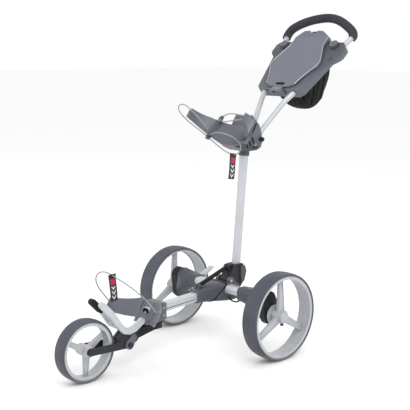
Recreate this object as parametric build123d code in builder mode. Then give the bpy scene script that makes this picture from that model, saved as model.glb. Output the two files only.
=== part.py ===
"""Folding three-wheel golf push trolley.

Millimetres, +Z up.  The front wheel points to -Y and +X is the pusher's left.
Heights are measured from the ground and y values from the rear axle; rear_axle_y then puts the
origin under the middle of the whole trolley.
"""
from build123d import *
import os
from math import cos, sin, radians, degrees, atan2, tan, hypot

os.makedirs("parts", exist_ok=True)

# ---------------------------------------------------------------- driving dimensions
rear_tyre_r = 146.0
rear_tyre_w = 60.0
front_tyre_r = 99.0
front_tyre_w = 46.0
wheelbase = 594.0
track_half = 258.5
handle_back = 521.5          # rear axle to the rearmost face of the grip

# fits and clearances
axle_fit = 0.05              # radial running fit of a wheel hub or lever on its pin
moving_gap = 0.6             # between faces that pass each other
soft_gap = 0.4               # between a soft part and what holds it

# wheels
tyre_wall = 9.0
tyre_crown = 2.6
tyre_edge_r = 4.0
rim_inset = 3.0              # rim face inside the tyre's face, each side
rim_wall = 8.0
rim_lip = 3.0                # how far the outer lip stands in from the band
rim_lip_w = 3.0
spoke_count = 3
spoke_root_w = 27.0
spoke_tip_w = 19.0
spoke_root_t = 17.0
spoke_tip_t = 11.0
spoke_groove = 0.55          # groove width as a share of the spoke's width
spoke_groove_d = 2.5
hub_r = 22.0
hub_out = 20.0               # barrel beyond the wheel's middle plane, outboard
hub_in = 22.0                # and inboard
hub_cap_r = 20.0
hub_cap_h = 7.0
brake_ring_r = 34.0
brake_ring_t = 6.0
brake_pocket_pcr = 28.0
brake_pocket_r = 3.6
brake_pocket_d = 5.0
brake_pocket_count = 12
tab_w = 9.0
tab_t = 7.0
tab_out = 9.0                # how far the release tab stands out of the hub
tab_in = 6.0
tab_travel = 3.0

# rear axle group
rear_axle_r = 6.0
axle_tube_y = -22.0
axle_tube_z = 198.0
axle_tube_w = 38.0
axle_tube_h = 28.0
axle_tube_corner = 12.0
axle_tube_wall = 2.0
bracket_in_x = 108.0
bracket_out_x = 206.0
bracket_grip = 30.0          # length of axle tube held in each bracket
stub_held = 24.0             # length of stub axle set in each bracket
stub_gap = 4.0               # stub axle's end short of the hub cap
housing_t = 26.0
housing_r = 37.0
housing_top_r = 29.0
housing_top_y = -14.0
housing_top_z = 196.0
brake_pin_r = 3.0
brake_pin_l = 20.0

pedal_x = -131.0
pedal_w = 18.0
pedal_t = 7.0
pedal_reach = 62.0
pedal_angle = 27.0           # above level, at rest
pedal_pin_r = 4.0
pedal_ear_t = 6.0
cable_d = 5.0

# hub where the beam, the axle tube and the mast meet
hub_front_y = -142.0
hub_mid_y = -60.0
hub_tail_y = 30.0
hub_band_t = 6.0
hub_band_proud = 1.2
hub_seam_y = -60.0           # where the slanted seam crosses the hub's middle height
hub_seam_z = 190.0
hub_seam_tilt = 44.0
beam_w = 30.0
beam_h = 30.0
beam_corner = 6.0
beam_wall = 2.5
beam_front_y = -352.0
beam_front_z = 171.0
beam_back_y = -106.0
beam_back_z = 184.0

# mast
mast_w = 24.0
mast_d = 30.0
mast_corner = 9.0
mast_wall = 2.0
mast_foot = (54.0, 218.0)
mast_head = (99.0, 762.0)
fold_pivot = (4.0, 218.0)
fold_pin_r = 5.0
clamp_half = 21.0
link_foot = (-121.0, 217.5)
link_head = (14.0, 262.0)
link_end_r = 6.0             # the link bar's rounded ends, and its half height
seat_ear_t = 5.0             # ears that the link bar's foot stands between
seat_foot_reach = 6.0        # how far each ear's base spreads, front and back
seat_drop = 14.0             # from the foot's pin down to the ear's base
seat_boss_r = 4.0
seat_boss_h = 2.0
link_t = 8.0
link_pin_r = 3.0
link_pin_half = 12.0
latch_pivot = (70.0, 250.0)

# bag axis: the bag leans back along this line
bag_tilt = 35.0
bag_axis_y = -422.4
bag_axis_z = 296.1
bag_r = 129.0
saddle_wall = 13.0
saddle_tip_angle = 80.0
saddle_w0 = 568.0            # distances along the bag axis
saddle_w1 = 646.0
lower_arm_angle = 60.0
lower_arm_wall = 12.0

# upper bracket and handle joint
handle_pivot = (130.0, 702.0)
handle_pin_r = 5.0
cheek_gap = 0.5              # between a handle tube and the cheek beside it
cheek_t = 6.0
collar_z0 = 645.0
collar_l = 40.0
collar_wall = 3.0
tube_r = 9.5
tube_wall = 1.5
tube_pivot_x = 22.0
cheek_in = tube_pivot_x + tube_r + cheek_gap
knob_r = 8.0
knob_l = 12.0
grip_r = 16.0

# handle loop, vertices of the left half: joint, knee, grip end, top corner, top middle
knee = (56.0, 233.0, 830.0)
grip_end = (154.0, 471.0, 1049.0)
top_mid_y = 499.5
top_mid_z = 1120.5
knee_bend_r = 90.0

# console, in the plane of the handle tubes
console_y = 279.0
console_z = 872.0
console_slope = 42.7
console_down = 20.0          # shell below the tube plane
console_up = 14.0            # and above it
cap_x = 117.0
cap_s = 207.0
cap_r = 15.5
cap_t = 6.0
boss_r = 18.0

# front bracket, foot and fork
sleeve_back_y = -292.0
sleeve_w = 52.0
foot_x = 25.3
foot_bar_h = 20.0
foot_bar_t = 12.0
foot_cap_wall = 2.0
foot_cap_l = 42.0
fork_pivot = (-448.0, 92.0)
fork_pin_r = 5.0
fork_gap = 4.0               # tyre side to fork plate
fork_plate_t = 5.0
fork_plate_h = 23.0
ear_t = 6.0
front_axle_r = 5.0

fork_in = front_tyre_w / 2 + fork_gap
fork_out = fork_in + fork_plate_t

# origin under the middle of the trolley
rear_axle_y = (wheelbase + front_tyre_r - handle_back) / 2


# ---------------------------------------------------------------- helpers
def at(x, y, z):
    """A point given from the rear axle (y) and the ground (z), in the trolley's own frame."""
    return (x, y + rear_axle_y, z)


def side_plane(x):
    """Plane seen from the left: its x runs along +Y from the rear axle, its y is the height."""
    return Plane(origin=at(x, 0, 0), x_dir=(0, 1, 0), z_dir=(1, 0, 0))


def wheel_plane(centre):
    """Half-section plane of a wheel: its x runs along +X, its y is the radius."""
    return Plane(origin=centre, x_dir=(1, 0, 0), z_dir=(0, -1, 0))


def finish(piece, label):
    """Label a finished piece and write its STEP file."""
    piece.part.label = label
    export_step(piece.part, f"parts/{label}.step")


def unit(a, b):
    """Direction from point a to point b in a side view, with its length."""
    length = hypot(b[0] - a[0], b[1] - a[1])
    return (b[0] - a[0]) / length, (b[1] - a[1]) / length, length


def along(a, b, far):
    """Point at distance far from a towards b in a side view."""
    du, dv, _ = unit(a, b)
    return a[0] + du * far, a[1] + dv * far


sides = (("left", 1), ("right", -1))
bag_plane = Plane(
    origin=at(0, bag_axis_y, bag_axis_z),
    x_dir=(1, 0, 0),
    z_dir=(0, sin(radians(bag_tilt)), cos(radians(bag_tilt))),
)
console_plane = Plane(
    origin=at(0, console_y, console_z),
    x_dir=(1, 0, 0),
    z_dir=(0, -sin(radians(console_slope)), cos(radians(console_slope))),
)


# ---------------------------------------------------------------- wheels
def make_tyre(label, centre, r, w):
    """Foam tyre: a thin crowned ring."""
    half = w / 2
    with BuildPart() as tyre:
        with BuildSketch(wheel_plane(centre)) as section:
            with BuildLine():
                Line((-half, r - tyre_wall), (half, r - tyre_wall))
                Line((half, r - tyre_wall), (half, r - tyre_crown))
                ThreePointArc((half, r - tyre_crown), (0, r), (-half, r - tyre_crown))
                Line((-half, r - tyre_crown), (-half, r - tyre_wall))
            make_face()
            fillet(section.vertices().group_by(Axis.Y)[-1], radius=tyre_edge_r)
        revolve(axis=Axis(centre, (1, 0, 0)))
    finish(tyre, label)


def make_rim(centre, r, w, out, bore_r, first_angle, hub_left, hub_right, grow):
    """Rim band, hub barrel and three grooved spokes, one moulding.

    out is +1 or -1, the side that faces outboard; hub_left and hub_right are how far the barrel
    reaches outboard and inboard of the wheel's middle plane; grow scales the spokes' sections.
    """
    band_r = r - tyre_wall
    inner_r = band_r - rim_wall
    half = w / 2 - rim_inset
    with BuildPart() as rim:
        with BuildSketch(wheel_plane(centre)):
            with BuildLine():
                Polyline(
                    (-half * out, band_r),
                    (half * out, band_r),
                    (half * out, inner_r - rim_lip),
                    ((half - rim_lip_w) * out, inner_r - rim_lip),
                    ((half - 2 * rim_lip_w) * out, inner_r),
                    (-half * out, inner_r + rim_lip / 2),
                    close=True,
                )
            make_face()
        revolve(axis=Axis(centre, (1, 0, 0)))
        with BuildSketch(wheel_plane(centre)):
            with BuildLine():
                Polyline(
                    (-hub_right * out, bore_r),
                    (hub_left * out, bore_r),
                    (hub_left * out, hub_r * grow),
                    (-hub_right * out, hub_r * grow),
                    close=True,
                )
            make_face()
        revolve(axis=Axis(centre, (1, 0, 0)))
        for turn in range(spoke_count):
            angle = radians(first_angle + turn * 360 / spoke_count)
            radial = (0, cos(angle), sin(angle))
            root = (hub_r * grow * 0.75, 6 * out * grow, spoke_root_t, spoke_root_w)
            tip = (inner_r + rim_lip / 2, 2 * out * grow, spoke_tip_t, spoke_tip_w)
            for far, shift, thick, wide in (root, tip):
                origin = (centre[0] + shift, centre[1] + radial[1] * far, centre[2] + radial[2] * far)
                with BuildSketch(Plane(origin=origin, x_dir=(1, 0, 0), z_dir=radial)):
                    RectangleRounded(thick * grow, wide * grow, 3.5 * grow)
            loft()
            for far, shift, thick, wide in (root, tip):
                reach = far - 2 if far > hub_r else hub_r * grow + 6
                face = shift + out * (thick * grow / 2)
                origin = (centre[0] + face, centre[1] + radial[1] * reach, centre[2] + radial[2] * reach)
                with BuildSketch(Plane(origin=origin, x_dir=(1, 0, 0), z_dir=radial)):
                    Rectangle(2 * spoke_groove_d * grow, wide * grow * spoke_groove)
            loft(mode=Mode.SUBTRACT)
    return rim.part


def make_rear_wheels():
    """Rear tyres, rims with brake ring, hub caps and the release tabs under the caps."""
    for name, sign in sides:
        centre = at(sign * track_half, 0, rear_tyre_r)
        make_tyre(f"rear_tyre_{name}", centre, rear_tyre_r, rear_tyre_w)
        bore = rear_axle_r + axle_fit
        wheel = make_rim(centre, rear_tyre_r, rear_tyre_w, sign, bore, 90, hub_out, hub_in, 1.0)
        tab_x = sign * (track_half + hub_out - tab_t / 2 - 3)
        tab_top = rear_tyre_r - hub_r + tab_in
        with BuildPart() as rim:
            add(wheel)
            ring_x = sign * (track_half - hub_in)
            with BuildSketch(Plane(origin=at(ring_x, 0, rear_tyre_r), x_dir=(0, 1, 0), z_dir=(sign, 0, 0))):
                Circle(brake_ring_r)
                Circle(bore, mode=Mode.SUBTRACT)
            extrude(amount=brake_ring_t)
            with BuildSketch(Plane(origin=at(ring_x, 0, rear_tyre_r), x_dir=(0, 1, 0), z_dir=(sign, 0, 0))):
                with PolarLocations(brake_pocket_pcr, brake_pocket_count):
                    Circle(brake_pocket_r)
            extrude(amount=brake_pocket_d, mode=Mode.SUBTRACT)
            with Locations(at(tab_x, 0, tab_top + tab_travel)):
                Box(
                    tab_t + 2 * moving_gap, tab_w + 2 * moving_gap, 2 * (tab_in + tab_travel + 1),
                    mode=Mode.SUBTRACT,
                )
        finish(rim, f"rear_rim_{name}")
        with BuildPart() as cap:
            with BuildSketch(Plane(origin=at(sign * (track_half + hub_out), 0, rear_tyre_r), z_dir=(sign, 0, 0))):
                Circle(hub_cap_r)
            extrude(amount=hub_cap_h)
            fillet(cap.faces().sort_by(Axis.X)[-1 if sign > 0 else 0].edges(), radius=hub_cap_h - 1.5)
        finish(cap, f"hub_cap_{name}")
        with BuildPart() as tab:
            with Locations(at(tab_x, 0, tab_top - (tab_in + tab_out) / 2)):
                Box(tab_t, tab_w, tab_in + tab_out)
            fillet(tab.edges().filter_by(Axis.X).group_by(Axis.Z)[0], radius=2)
        finish(tab, f"release_tab_{name}")


def make_front_wheel():
    """Front tyre and rim; its hub turns on a through axle between the fork plates."""
    centre = at(0, -wheelbase, front_tyre_r)
    make_tyre("front_tyre", centre, front_tyre_r, front_tyre_w)
    half_hub = front_tyre_w / 2 + fork_gap - 2
    bore = front_axle_r + axle_fit
    wheel = make_rim(centre, front_tyre_r, front_tyre_w, 1, bore, 270, half_hub, half_hub, 0.82)
    with BuildPart() as rim:
        add(wheel)
    finish(rim, "front_rim")
    with BuildPart() as axle:
        with BuildSketch(side_plane(0)):
            with Locations((-wheelbase, front_tyre_r)):
                Circle(front_axle_r)
        extrude(amount=fork_out + 1, both=True)
        for sign in (1, -1):
            with BuildSketch(side_plane(sign * fork_out)):
                with Locations((-wheelbase, front_tyre_r)):
                    Circle(10)
            extrude(amount=sign * 5)
    finish(axle, "front_axle")


# ---------------------------------------------------------------- rear axle group
def make_axle_group():
    """Axle tube, wheel brackets, brake housings, stub axles and brake pins."""
    half_l = bracket_in_x + bracket_grip
    with BuildPart() as tube:
        with BuildSketch(side_plane(0)):
            with Locations((axle_tube_y, axle_tube_z)):
                RectangleRounded(axle_tube_w, axle_tube_h, axle_tube_corner)
                RectangleRounded(
                    axle_tube_w - 2 * axle_tube_wall, axle_tube_h - 2 * axle_tube_wall,
                    axle_tube_corner - axle_tube_wall, mode=Mode.SUBTRACT,
                )
        extrude(amount=half_l, both=True)
    finish(tube, "axle_tube")

    for name, sign in sides:
        with BuildPart() as bracket:
            with BuildSketch(side_plane(sign * bracket_in_x)):
                with Locations((axle_tube_y, axle_tube_z - 4)):
                    RectangleRounded(axle_tube_w + 10, axle_tube_h + 20, 15)
            with BuildSketch(side_plane(sign * (bracket_in_x + bracket_out_x) / 2)):
                with Locations((axle_tube_y + 4, axle_tube_z - 8)):
                    RectangleRounded(axle_tube_w + 20, axle_tube_h + 34, 20)
            with BuildSketch(side_plane(sign * bracket_out_x)):
                with Locations((-6, (rear_tyre_r + housing_top_z) / 2)):
                    RectangleRounded(66, 104, 28)
            loft()
            with BuildSketch(side_plane(sign * (bracket_in_x - 1))):
                with Locations((axle_tube_y, axle_tube_z)):
                    RectangleRounded(axle_tube_w, axle_tube_h, axle_tube_corner)
            extrude(amount=sign * (bracket_grip + 1), mode=Mode.SUBTRACT)
            with BuildSketch(side_plane(sign * bracket_out_x)):
                with Locations((0, rear_tyre_r)):
                    Circle(rear_axle_r)
            extrude(amount=-sign * stub_held, mode=Mode.SUBTRACT)
            if sign < 0:
                cut_pedal_slot()
                add(pedal_ears())
                with BuildSketch(side_plane(0)):
                    with Locations((axle_tube_y, axle_tube_z)):
                        RectangleRounded(axle_tube_w, axle_tube_h, axle_tube_corner)
                extrude(amount=-half_l, mode=Mode.SUBTRACT)
                with BuildSketch(side_plane(pedal_x)):
                    with Locations(pedal_axis()):
                        Circle(pedal_pin_r + axle_fit)
                extrude(amount=pedal_w / 2 + moving_gap + pedal_ear_t, both=True, mode=Mode.SUBTRACT)
        finish(bracket, f"wheel_bracket_{name}")

    with BuildPart() as housings:
        for name, sign in sides:
            with BuildSketch(side_plane(sign * bracket_out_x)):
                with Locations((0, rear_tyre_r)):
                    Circle(housing_r)
                with Locations((housing_top_y, housing_top_z)):
                    Circle(housing_top_r)
                make_hull()
            extrude(amount=sign * housing_t)
            outer = housings.faces().sort_by(Axis.X)[-1 if sign > 0 else 0]
            fillet(outer.edges(), radius=4)
            with BuildSketch(side_plane(sign * bracket_out_x)):
                with Locations((0, rear_tyre_r)):
                    Circle(rear_axle_r)
                with Locations((0, rear_tyre_r + brake_pocket_pcr)):
                    Circle(brake_pin_r + axle_fit)
            extrude(amount=sign * (housing_t + 1), mode=Mode.SUBTRACT)
    finish(housings, "brake_housings")

    with BuildPart() as stubs:
        for name, sign in sides:
            with BuildSketch(side_plane(sign * (bracket_out_x - stub_held))):
                with Locations((0, rear_tyre_r)):
                    Circle(rear_axle_r)
            extrude(amount=sign * (track_half + hub_out - stub_gap - bracket_out_x + stub_held))
    finish(stubs, "rear_axles")

    for name, sign in sides:
        with BuildPart() as pin:
            with BuildSketch(side_plane(sign * (bracket_out_x + housing_t - brake_pin_l))):
                with Locations((0, rear_tyre_r + brake_pocket_pcr)):
                    Circle(brake_pin_r)
            extrude(amount=sign * brake_pin_l)
        finish(pin, f"brake_pin_{name}")


def pedal_axis():
    """Side-view position of the brake pedal's pin, behind the axle tube."""
    return axle_tube_y + 34, axle_tube_z + 4


def cut_pedal_slot():
    """Slot for the brake pedal in the right wheel bracket, open to the back."""
    pin_y, pin_z = pedal_axis()
    with Locations(at(pedal_x, pin_y + 20, pin_z)):
        Box(pedal_w + 2 * moving_gap, 60, 90, mode=Mode.SUBTRACT)


def pedal_ears():
    """Ears on the right wheel bracket, one each side of the brake pedal."""
    pin_y, pin_z = pedal_axis()
    with BuildPart() as ears:
        for step in (-1, 1):
            with BuildSketch(side_plane(pedal_x + step * (pedal_w / 2 + moving_gap))):
                with Locations((pin_y, pin_z)):
                    Circle(pedal_pin_r + 5)
                with Locations((axle_tube_y + 10, axle_tube_z - 6)):
                    Circle(12)
                make_hull()
                with Locations((pin_y, pin_z)):
                    Circle(pedal_pin_r + axle_fit, mode=Mode.SUBTRACT)
            extrude(amount=step * pedal_ear_t)
    return ears.part


def make_pedal():
    """Foot pedal that works both brakes, one piece with its pin."""
    pin_y, pin_z = pedal_axis()
    a = (pin_y, pin_z)
    slope = radians(pedal_angle)
    b = (pin_y + pedal_reach * cos(slope), pin_z + pedal_reach * sin(slope))
    with BuildPart() as pedal:
        with BuildSketch(side_plane(pedal_x)):
            with Locations(a):
                Circle(pedal_t)
            with Locations(along(a, b, pedal_reach - pedal_t / 2)):
                Circle(pedal_t / 2)
            make_hull()
        extrude(amount=pedal_w / 2, both=True)
        with BuildSketch(side_plane(pedal_x)):
            with Locations(a):
                Circle(pedal_pin_r)
        extrude(amount=pedal_w / 2 + moving_gap + pedal_ear_t, both=True)
    finish(pedal, "brake_pedal")

# ---------------------------------------------------------------- hub, beam and mast fold
def cross_plane(y, z):
    """Plane across the trolley at y, centred at height z: its x runs along +X, its y is up."""
    return Plane(origin=at(0, y, z), x_dir=(1, 0, 0), z_dir=(0, -1, 0))


def beam_plane():
    """Plane across the beam's front end, square to the beam, facing back along it."""
    dy, dz, _ = unit((beam_front_y, beam_front_z), (beam_back_y, beam_back_z))
    return Plane(origin=at(0, beam_front_y, beam_front_z), x_dir=(1, 0, 0), z_dir=(0, dy, dz))


def mast_plane():
    """Plane across the mast's foot, square to the mast, facing up along it."""
    dy, dz, _ = unit(mast_foot, mast_head)
    return Plane(origin=at(0, *mast_foot), x_dir=(1, 0, 0), z_dir=(0, dy, dz))


beam_l = unit((beam_front_y, beam_front_z), (beam_back_y, beam_back_z))[2]
mast_l = unit(mast_foot, mast_head)[2]
mast_rise = unit(mast_foot, mast_head)[1]
seam_normal = (0, -sin(radians(hub_seam_tilt)), cos(radians(hub_seam_tilt)))


def seam_plane(shift):
    """The slanted seam between the hub's shells, moved forward by shift."""
    return Plane(
        origin=at(0, hub_seam_y + shift * seam_normal[1], hub_seam_z + shift * seam_normal[2]),
        x_dir=(1, 0, 0),
        z_dir=seam_normal,
    )


def hub_body(grow):
    """The hub's whole outline with every section larger by grow on each side."""
    with BuildPart() as body:
        for y, z, wide, high, corner in (
            (hub_front_y, 184, 46, 44, 9),
            (hub_mid_y, 188, 84, 60, 14),
            (0, 184, 104, 60, 14),
            (hub_tail_y, 180, 96, 50, 14),
        ):
            with BuildSketch(cross_plane(y, z)):
                RectangleRounded(wide + 2 * grow, high + 2 * grow, corner + grow)
        loft()
    return body.part


def make_hub():
    """Front shell, link seat, slanted band and rear shell of the hub, with the mast's recess and pin bore."""
    half_band = hub_band_t / 2
    with BuildPart() as front:
        add(hub_body(0))
        split(bisect_by=seam_plane(half_band), keep=Keep.TOP)
        with BuildSketch(beam_plane()):
            RectangleRounded(beam_w, beam_h, beam_corner)
        extrude(amount=beam_l, mode=Mode.SUBTRACT)
    finish(front, "hub_front_shell")

    foot_y, foot_z = link_foot
    seat_base_z = foot_z - seat_drop
    with BuildPart() as seat:
        for sign in (1, -1):
            inner_face = sign * (link_t / 2 + moving_gap)
            with BuildSketch(side_plane(inner_face)):
                with Locations(link_foot):
                    Circle(link_end_r)
                with Locations((foot_y - seat_foot_reach, seat_base_z), (foot_y + seat_foot_reach, seat_base_z)):
                    Circle(link_end_r)
                make_hull()
            extrude(amount=sign * seat_ear_t)
            with BuildSketch(side_plane(inner_face + sign * seat_ear_t)):
                with Locations(link_foot):
                    Circle(seat_boss_r)
            extrude(amount=sign * seat_boss_h)
        add(hub_body(0), mode=Mode.SUBTRACT)
    finish(seat, "link_seat")

    with BuildPart() as band:
        add(hub_body(hub_band_proud))
        split(bisect_by=seam_plane(half_band), keep=Keep.BOTTOM)
        split(bisect_by=seam_plane(-half_band), keep=Keep.TOP)
        with BuildSketch(side_plane(0)):
            with Locations((axle_tube_y, axle_tube_z)):
                RectangleRounded(axle_tube_w, axle_tube_h, axle_tube_corner)
        extrude(amount=80, both=True, mode=Mode.SUBTRACT)
    finish(band, "hub_band")

    pivot_y, pivot_z = fold_pivot
    with BuildPart() as rear:
        add(hub_body(0))
        split(bisect_by=seam_plane(-half_band), keep=Keep.BOTTOM)
        for sign in (1, -1):
            face = sign * (clamp_half + moving_gap)
            with BuildSketch(side_plane(face)):
                with Locations(fold_pivot):
                    Circle(13)
                with Locations((pivot_y - 8, pivot_z - 20), (pivot_y + 26, pivot_z - 20)):
                    Circle(9)
                make_hull()
            extrude(amount=sign * 11)
        with BuildSketch(side_plane(0)):
            with Locations((axle_tube_y, axle_tube_z)):
                RectangleRounded(axle_tube_w, axle_tube_h, axle_tube_corner)
        extrude(amount=80, both=True, mode=Mode.SUBTRACT)
        with BuildSketch(side_plane(0)):
            with Locations(fold_pivot):
                Circle(fold_pin_r)
        extrude(amount=80, both=True, mode=Mode.SUBTRACT)
        with BuildSketch(side_plane(0)):
            with Locations(fold_pivot):
                Circle(13)
            with BuildLine():
                Polyline(
                    (pivot_y, pivot_z - 13), (pivot_y + 80, pivot_z - 13),
                    (pivot_y + 80, pivot_z + 40), (pivot_y, pivot_z + 40), close=True,
                )
            make_face()
        extrude(amount=clamp_half + moving_gap, both=True, mode=Mode.SUBTRACT)
    finish(rear, "hub_rear_shell")

    with BuildPart() as pin:
        with BuildSketch(side_plane(0)):
            with Locations(fold_pivot):
                Circle(fold_pin_r)
        extrude(amount=clamp_half + moving_gap + 11, both=True)
    finish(pin, "mast_pivot_pin")

    with BuildPart() as beam:
        with BuildSketch(beam_plane()):
            RectangleRounded(beam_w, beam_h, beam_corner)
            RectangleRounded(
                beam_w - 2 * beam_wall, beam_h - 2 * beam_wall, beam_corner - beam_wall, mode=Mode.SUBTRACT
            )
        extrude(amount=beam_l)
    finish(beam, "main_beam")


clamp_profile = (
    (fold_pivot[0], fold_pivot[1] + 9), (30, 268), (72, 268), (84, 240),
    (72, 200), (60, 186), (46, 190), (44, 212), (fold_pivot[0], fold_pivot[1] - 9),
)


def make_mast():
    """Mast tube, clamp block with lugs, collar, link bar and the clamp's release lever."""
    with BuildPart() as clamp:
        with BuildSketch(side_plane(0)):
            with Locations(fold_pivot):
                Circle(10)
            with BuildLine():
                Polyline(*clamp_profile, close=True)
            make_face()
        extrude(amount=clamp_half, both=True)
        for sign in (1, -1):
            with BuildSketch(side_plane(sign * (link_t / 2 + moving_gap))):
                with Locations(link_head):
                    Circle(8)
                with Locations((34, 262), (30, 240)):
                    Circle(6)
                make_hull()
            extrude(amount=sign * 6)
        with Locations(at(0, *link_head)):
            Box(link_t + 2 * moving_gap, 24, 26, mode=Mode.SUBTRACT)
        with BuildSketch(mast_plane()):
            RectangleRounded(mast_w, mast_d, mast_corner)
        extrude(amount=mast_l, mode=Mode.SUBTRACT)
        with BuildSketch(side_plane(0)):
            with Locations(fold_pivot):
                Circle(fold_pin_r + axle_fit)
            with Locations(link_head, latch_pivot):
                Circle(link_pin_r + axle_fit)
        extrude(amount=clamp_half + 1, both=True, mode=Mode.SUBTRACT)
    finish(clamp, "mast_clamp")

    with BuildPart() as mast:
        with BuildSketch(mast_plane()):
            RectangleRounded(mast_w, mast_d, mast_corner)
            RectangleRounded(
                mast_w - 2 * mast_wall, mast_d - 2 * mast_wall, mast_corner - mast_wall, mode=Mode.SUBTRACT
            )
        extrude(amount=mast_l)
        with BuildSketch(side_plane(0)):
            with Locations(latch_pivot):
                Circle(link_pin_r + moving_gap)
        extrude(amount=clamp_half, both=True, mode=Mode.SUBTRACT)
    finish(mast, "mast_tube")

    with BuildPart() as link:
        a, b = link_foot, link_head
        with BuildSketch(side_plane(0)):
            with Locations(a, b):
                Circle(link_end_r)
            make_hull()
        extrude(amount=link_t / 2, both=True)
        with BuildSketch(side_plane(0)):
            with Locations(b):
                Circle(link_pin_r)
        extrude(amount=link_pin_half, both=True)
    finish(link, "link_bar")

    with BuildPart() as lever:
        with BuildSketch(side_plane(clamp_half + moving_gap)):
            with BuildLine():
                Polyline((58, 262), (76, 262), (84, 240), (74, 206), (60, 200), (56, 232), close=True)
            make_face()
        extrude(amount=6)
        fillet(lever.faces().sort_by(Axis.X)[-1].edges(), radius=1.5)
        with BuildSketch(side_plane(-clamp_half)):
            with Locations(latch_pivot):
                Circle(link_pin_r)
        extrude(amount=2 * clamp_half + moving_gap + 1)
    finish(lever, "fold_latch")


# ---------------------------------------------------------------- upper bracket
def bag_at(x, v, w):
    """Point from the bag's axis: x across, v back from the axis, w up along it."""
    lean = radians(bag_tilt)
    return at(x, bag_axis_y + v * cos(lean) + w * sin(lean), bag_axis_z - v * sin(lean) + w * cos(lean))


def bag_side_plane():
    """Plane seen from behind the bag, square to its depth: its y runs up along the bag."""
    return Plane(origin=bag_at(0, 0, 0), x_dir=(1, 0, 0), z_dir=bag_plane.y_dir * -1)


def ring_sector(r0, r1, half_angle, w0, height):
    """Part of a ring round the bag's axis, open towards the front."""
    far = 3 * r1
    spread = radians(half_angle)
    with BuildPart() as ring:
        with BuildSketch(bag_plane.offset(w0)):
            Circle(r1)
            Circle(r0, mode=Mode.SUBTRACT)
            with BuildLine():
                Polyline(
                    (0, 0), (far * sin(spread), far * cos(spread)), (far, far), (0, 2 * far),
                    (-far, far), (-far * sin(spread), far * cos(spread)), close=True,
                )
            make_face(mode=Mode.INTERSECT)
        extrude(amount=height)
    return ring.part


def make_saddle():
    """Upper bag cradle: deep at the middle, narrow at the tips, with the cord post and the lug."""
    r1 = bag_r + saddle_wall
    with BuildPart() as saddle:
        add(ring_sector(bag_r, r1, saddle_tip_angle, saddle_w0, saddle_w1 - saddle_w0))
        with BuildSketch(bag_side_plane()):
            with BuildLine():
                Polyline(
                    (-r1 - 2, 608), (-93, 587), (-30, saddle_w0), (30, saddle_w0), (93, 587), (r1 + 2, 608),
                    (r1 + 2, 635), (93, saddle_w1), (-93, saddle_w1), (-r1 - 2, 635), close=True,
                )
            make_face()
        extrude(amount=2 * r1, both=True, mode=Mode.INTERSECT)
        with BuildSketch(bag_plane.offset(saddle_w1 - 10)):
            with Locations((-70, 115), (70, 115)):
                Circle(5)
        extrude(amount=32)
        with BuildSketch(bag_plane.offset(574)):
            with Locations((-90, 113), (90, 113)):
                RectangleRounded(16, 14, 4)
        extrude(amount=24)
    finish(saddle, "upper_saddle")


def make_upper_bracket():
    """Bracket that clamps the mast, carries the cradle and holds the handle's pivot."""
    pivot_y, pivot_z = handle_pivot
    inner = tube_pivot_x - tube_r - moving_gap
    with BuildPart() as bracket:
        with BuildSketch(side_plane(0)):
            with BuildLine():
                Polyline(
                    (21, 680), (60, 664), (113, 665), (134, 674), (142, 696), (138, 716),
                    (126, 750), (84, 792), (64, 744), close=True,
                )
            make_face()
        extrude(amount=cheek_in + cheek_t, both=True)
        for sign in (1, -1):
            with BuildSketch(side_plane(sign * inner)):
                with Locations(handle_pivot):
                    Circle(16)
                with BuildLine():
                    Polyline(
                        (pivot_y - 16, pivot_z), (pivot_y - 16, pivot_z + 120), (pivot_y + 60, pivot_z + 120),
                        (pivot_y + 60, pivot_z - 60), (pivot_y - 9, pivot_z - 60), (pivot_y - 9, pivot_z - 13),
                        close=True,
                    )
                make_face()
            extrude(amount=sign * (cheek_in - inner), mode=Mode.SUBTRACT)
        with BuildSketch(mast_plane().offset((collar_z0 - mast_foot[1]) / mast_rise)):
            RectangleRounded(mast_w + 2 * collar_wall, mast_d + 2 * collar_wall, mast_corner + collar_wall)
        extrude(amount=collar_l)
        with BuildSketch(mast_plane()):
            RectangleRounded(mast_w, mast_d, mast_corner)
        extrude(amount=mast_l, mode=Mode.SUBTRACT)
        add(ring_sector(0.1, bag_r + saddle_wall, 89, 500, 260), mode=Mode.SUBTRACT)
        with BuildSketch(side_plane(0)):
            with Locations(handle_pivot):
                Circle(handle_pin_r)
        extrude(amount=100, both=True, mode=Mode.SUBTRACT)
    finish(bracket, "upper_bracket")

    with BuildPart() as pin:
        with BuildSketch(side_plane(0)):
            with Locations(handle_pivot):
                Circle(handle_pin_r)
        extrude(amount=cheek_in + cheek_t, both=True)
        with BuildSketch(side_plane(-cheek_in - cheek_t)):
            with Locations(handle_pivot):
                Circle(8)
        extrude(amount=-4)
        with BuildSketch(side_plane(cheek_in + cheek_t)):
            with Locations(handle_pivot):
                Circle(handle_pin_r)
        extrude(amount=knob_l)
    finish(pin, "handle_pivot_pin")
    with BuildPart() as knob:
        with BuildSketch(side_plane(cheek_in + cheek_t + moving_gap)):
            with Locations(handle_pivot):
                RegularPolygon(knob_r, 8)
                Circle(handle_pin_r + axle_fit, mode=Mode.SUBTRACT)
        extrude(amount=knob_l)
    finish(knob, "tilt_knob")


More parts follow.
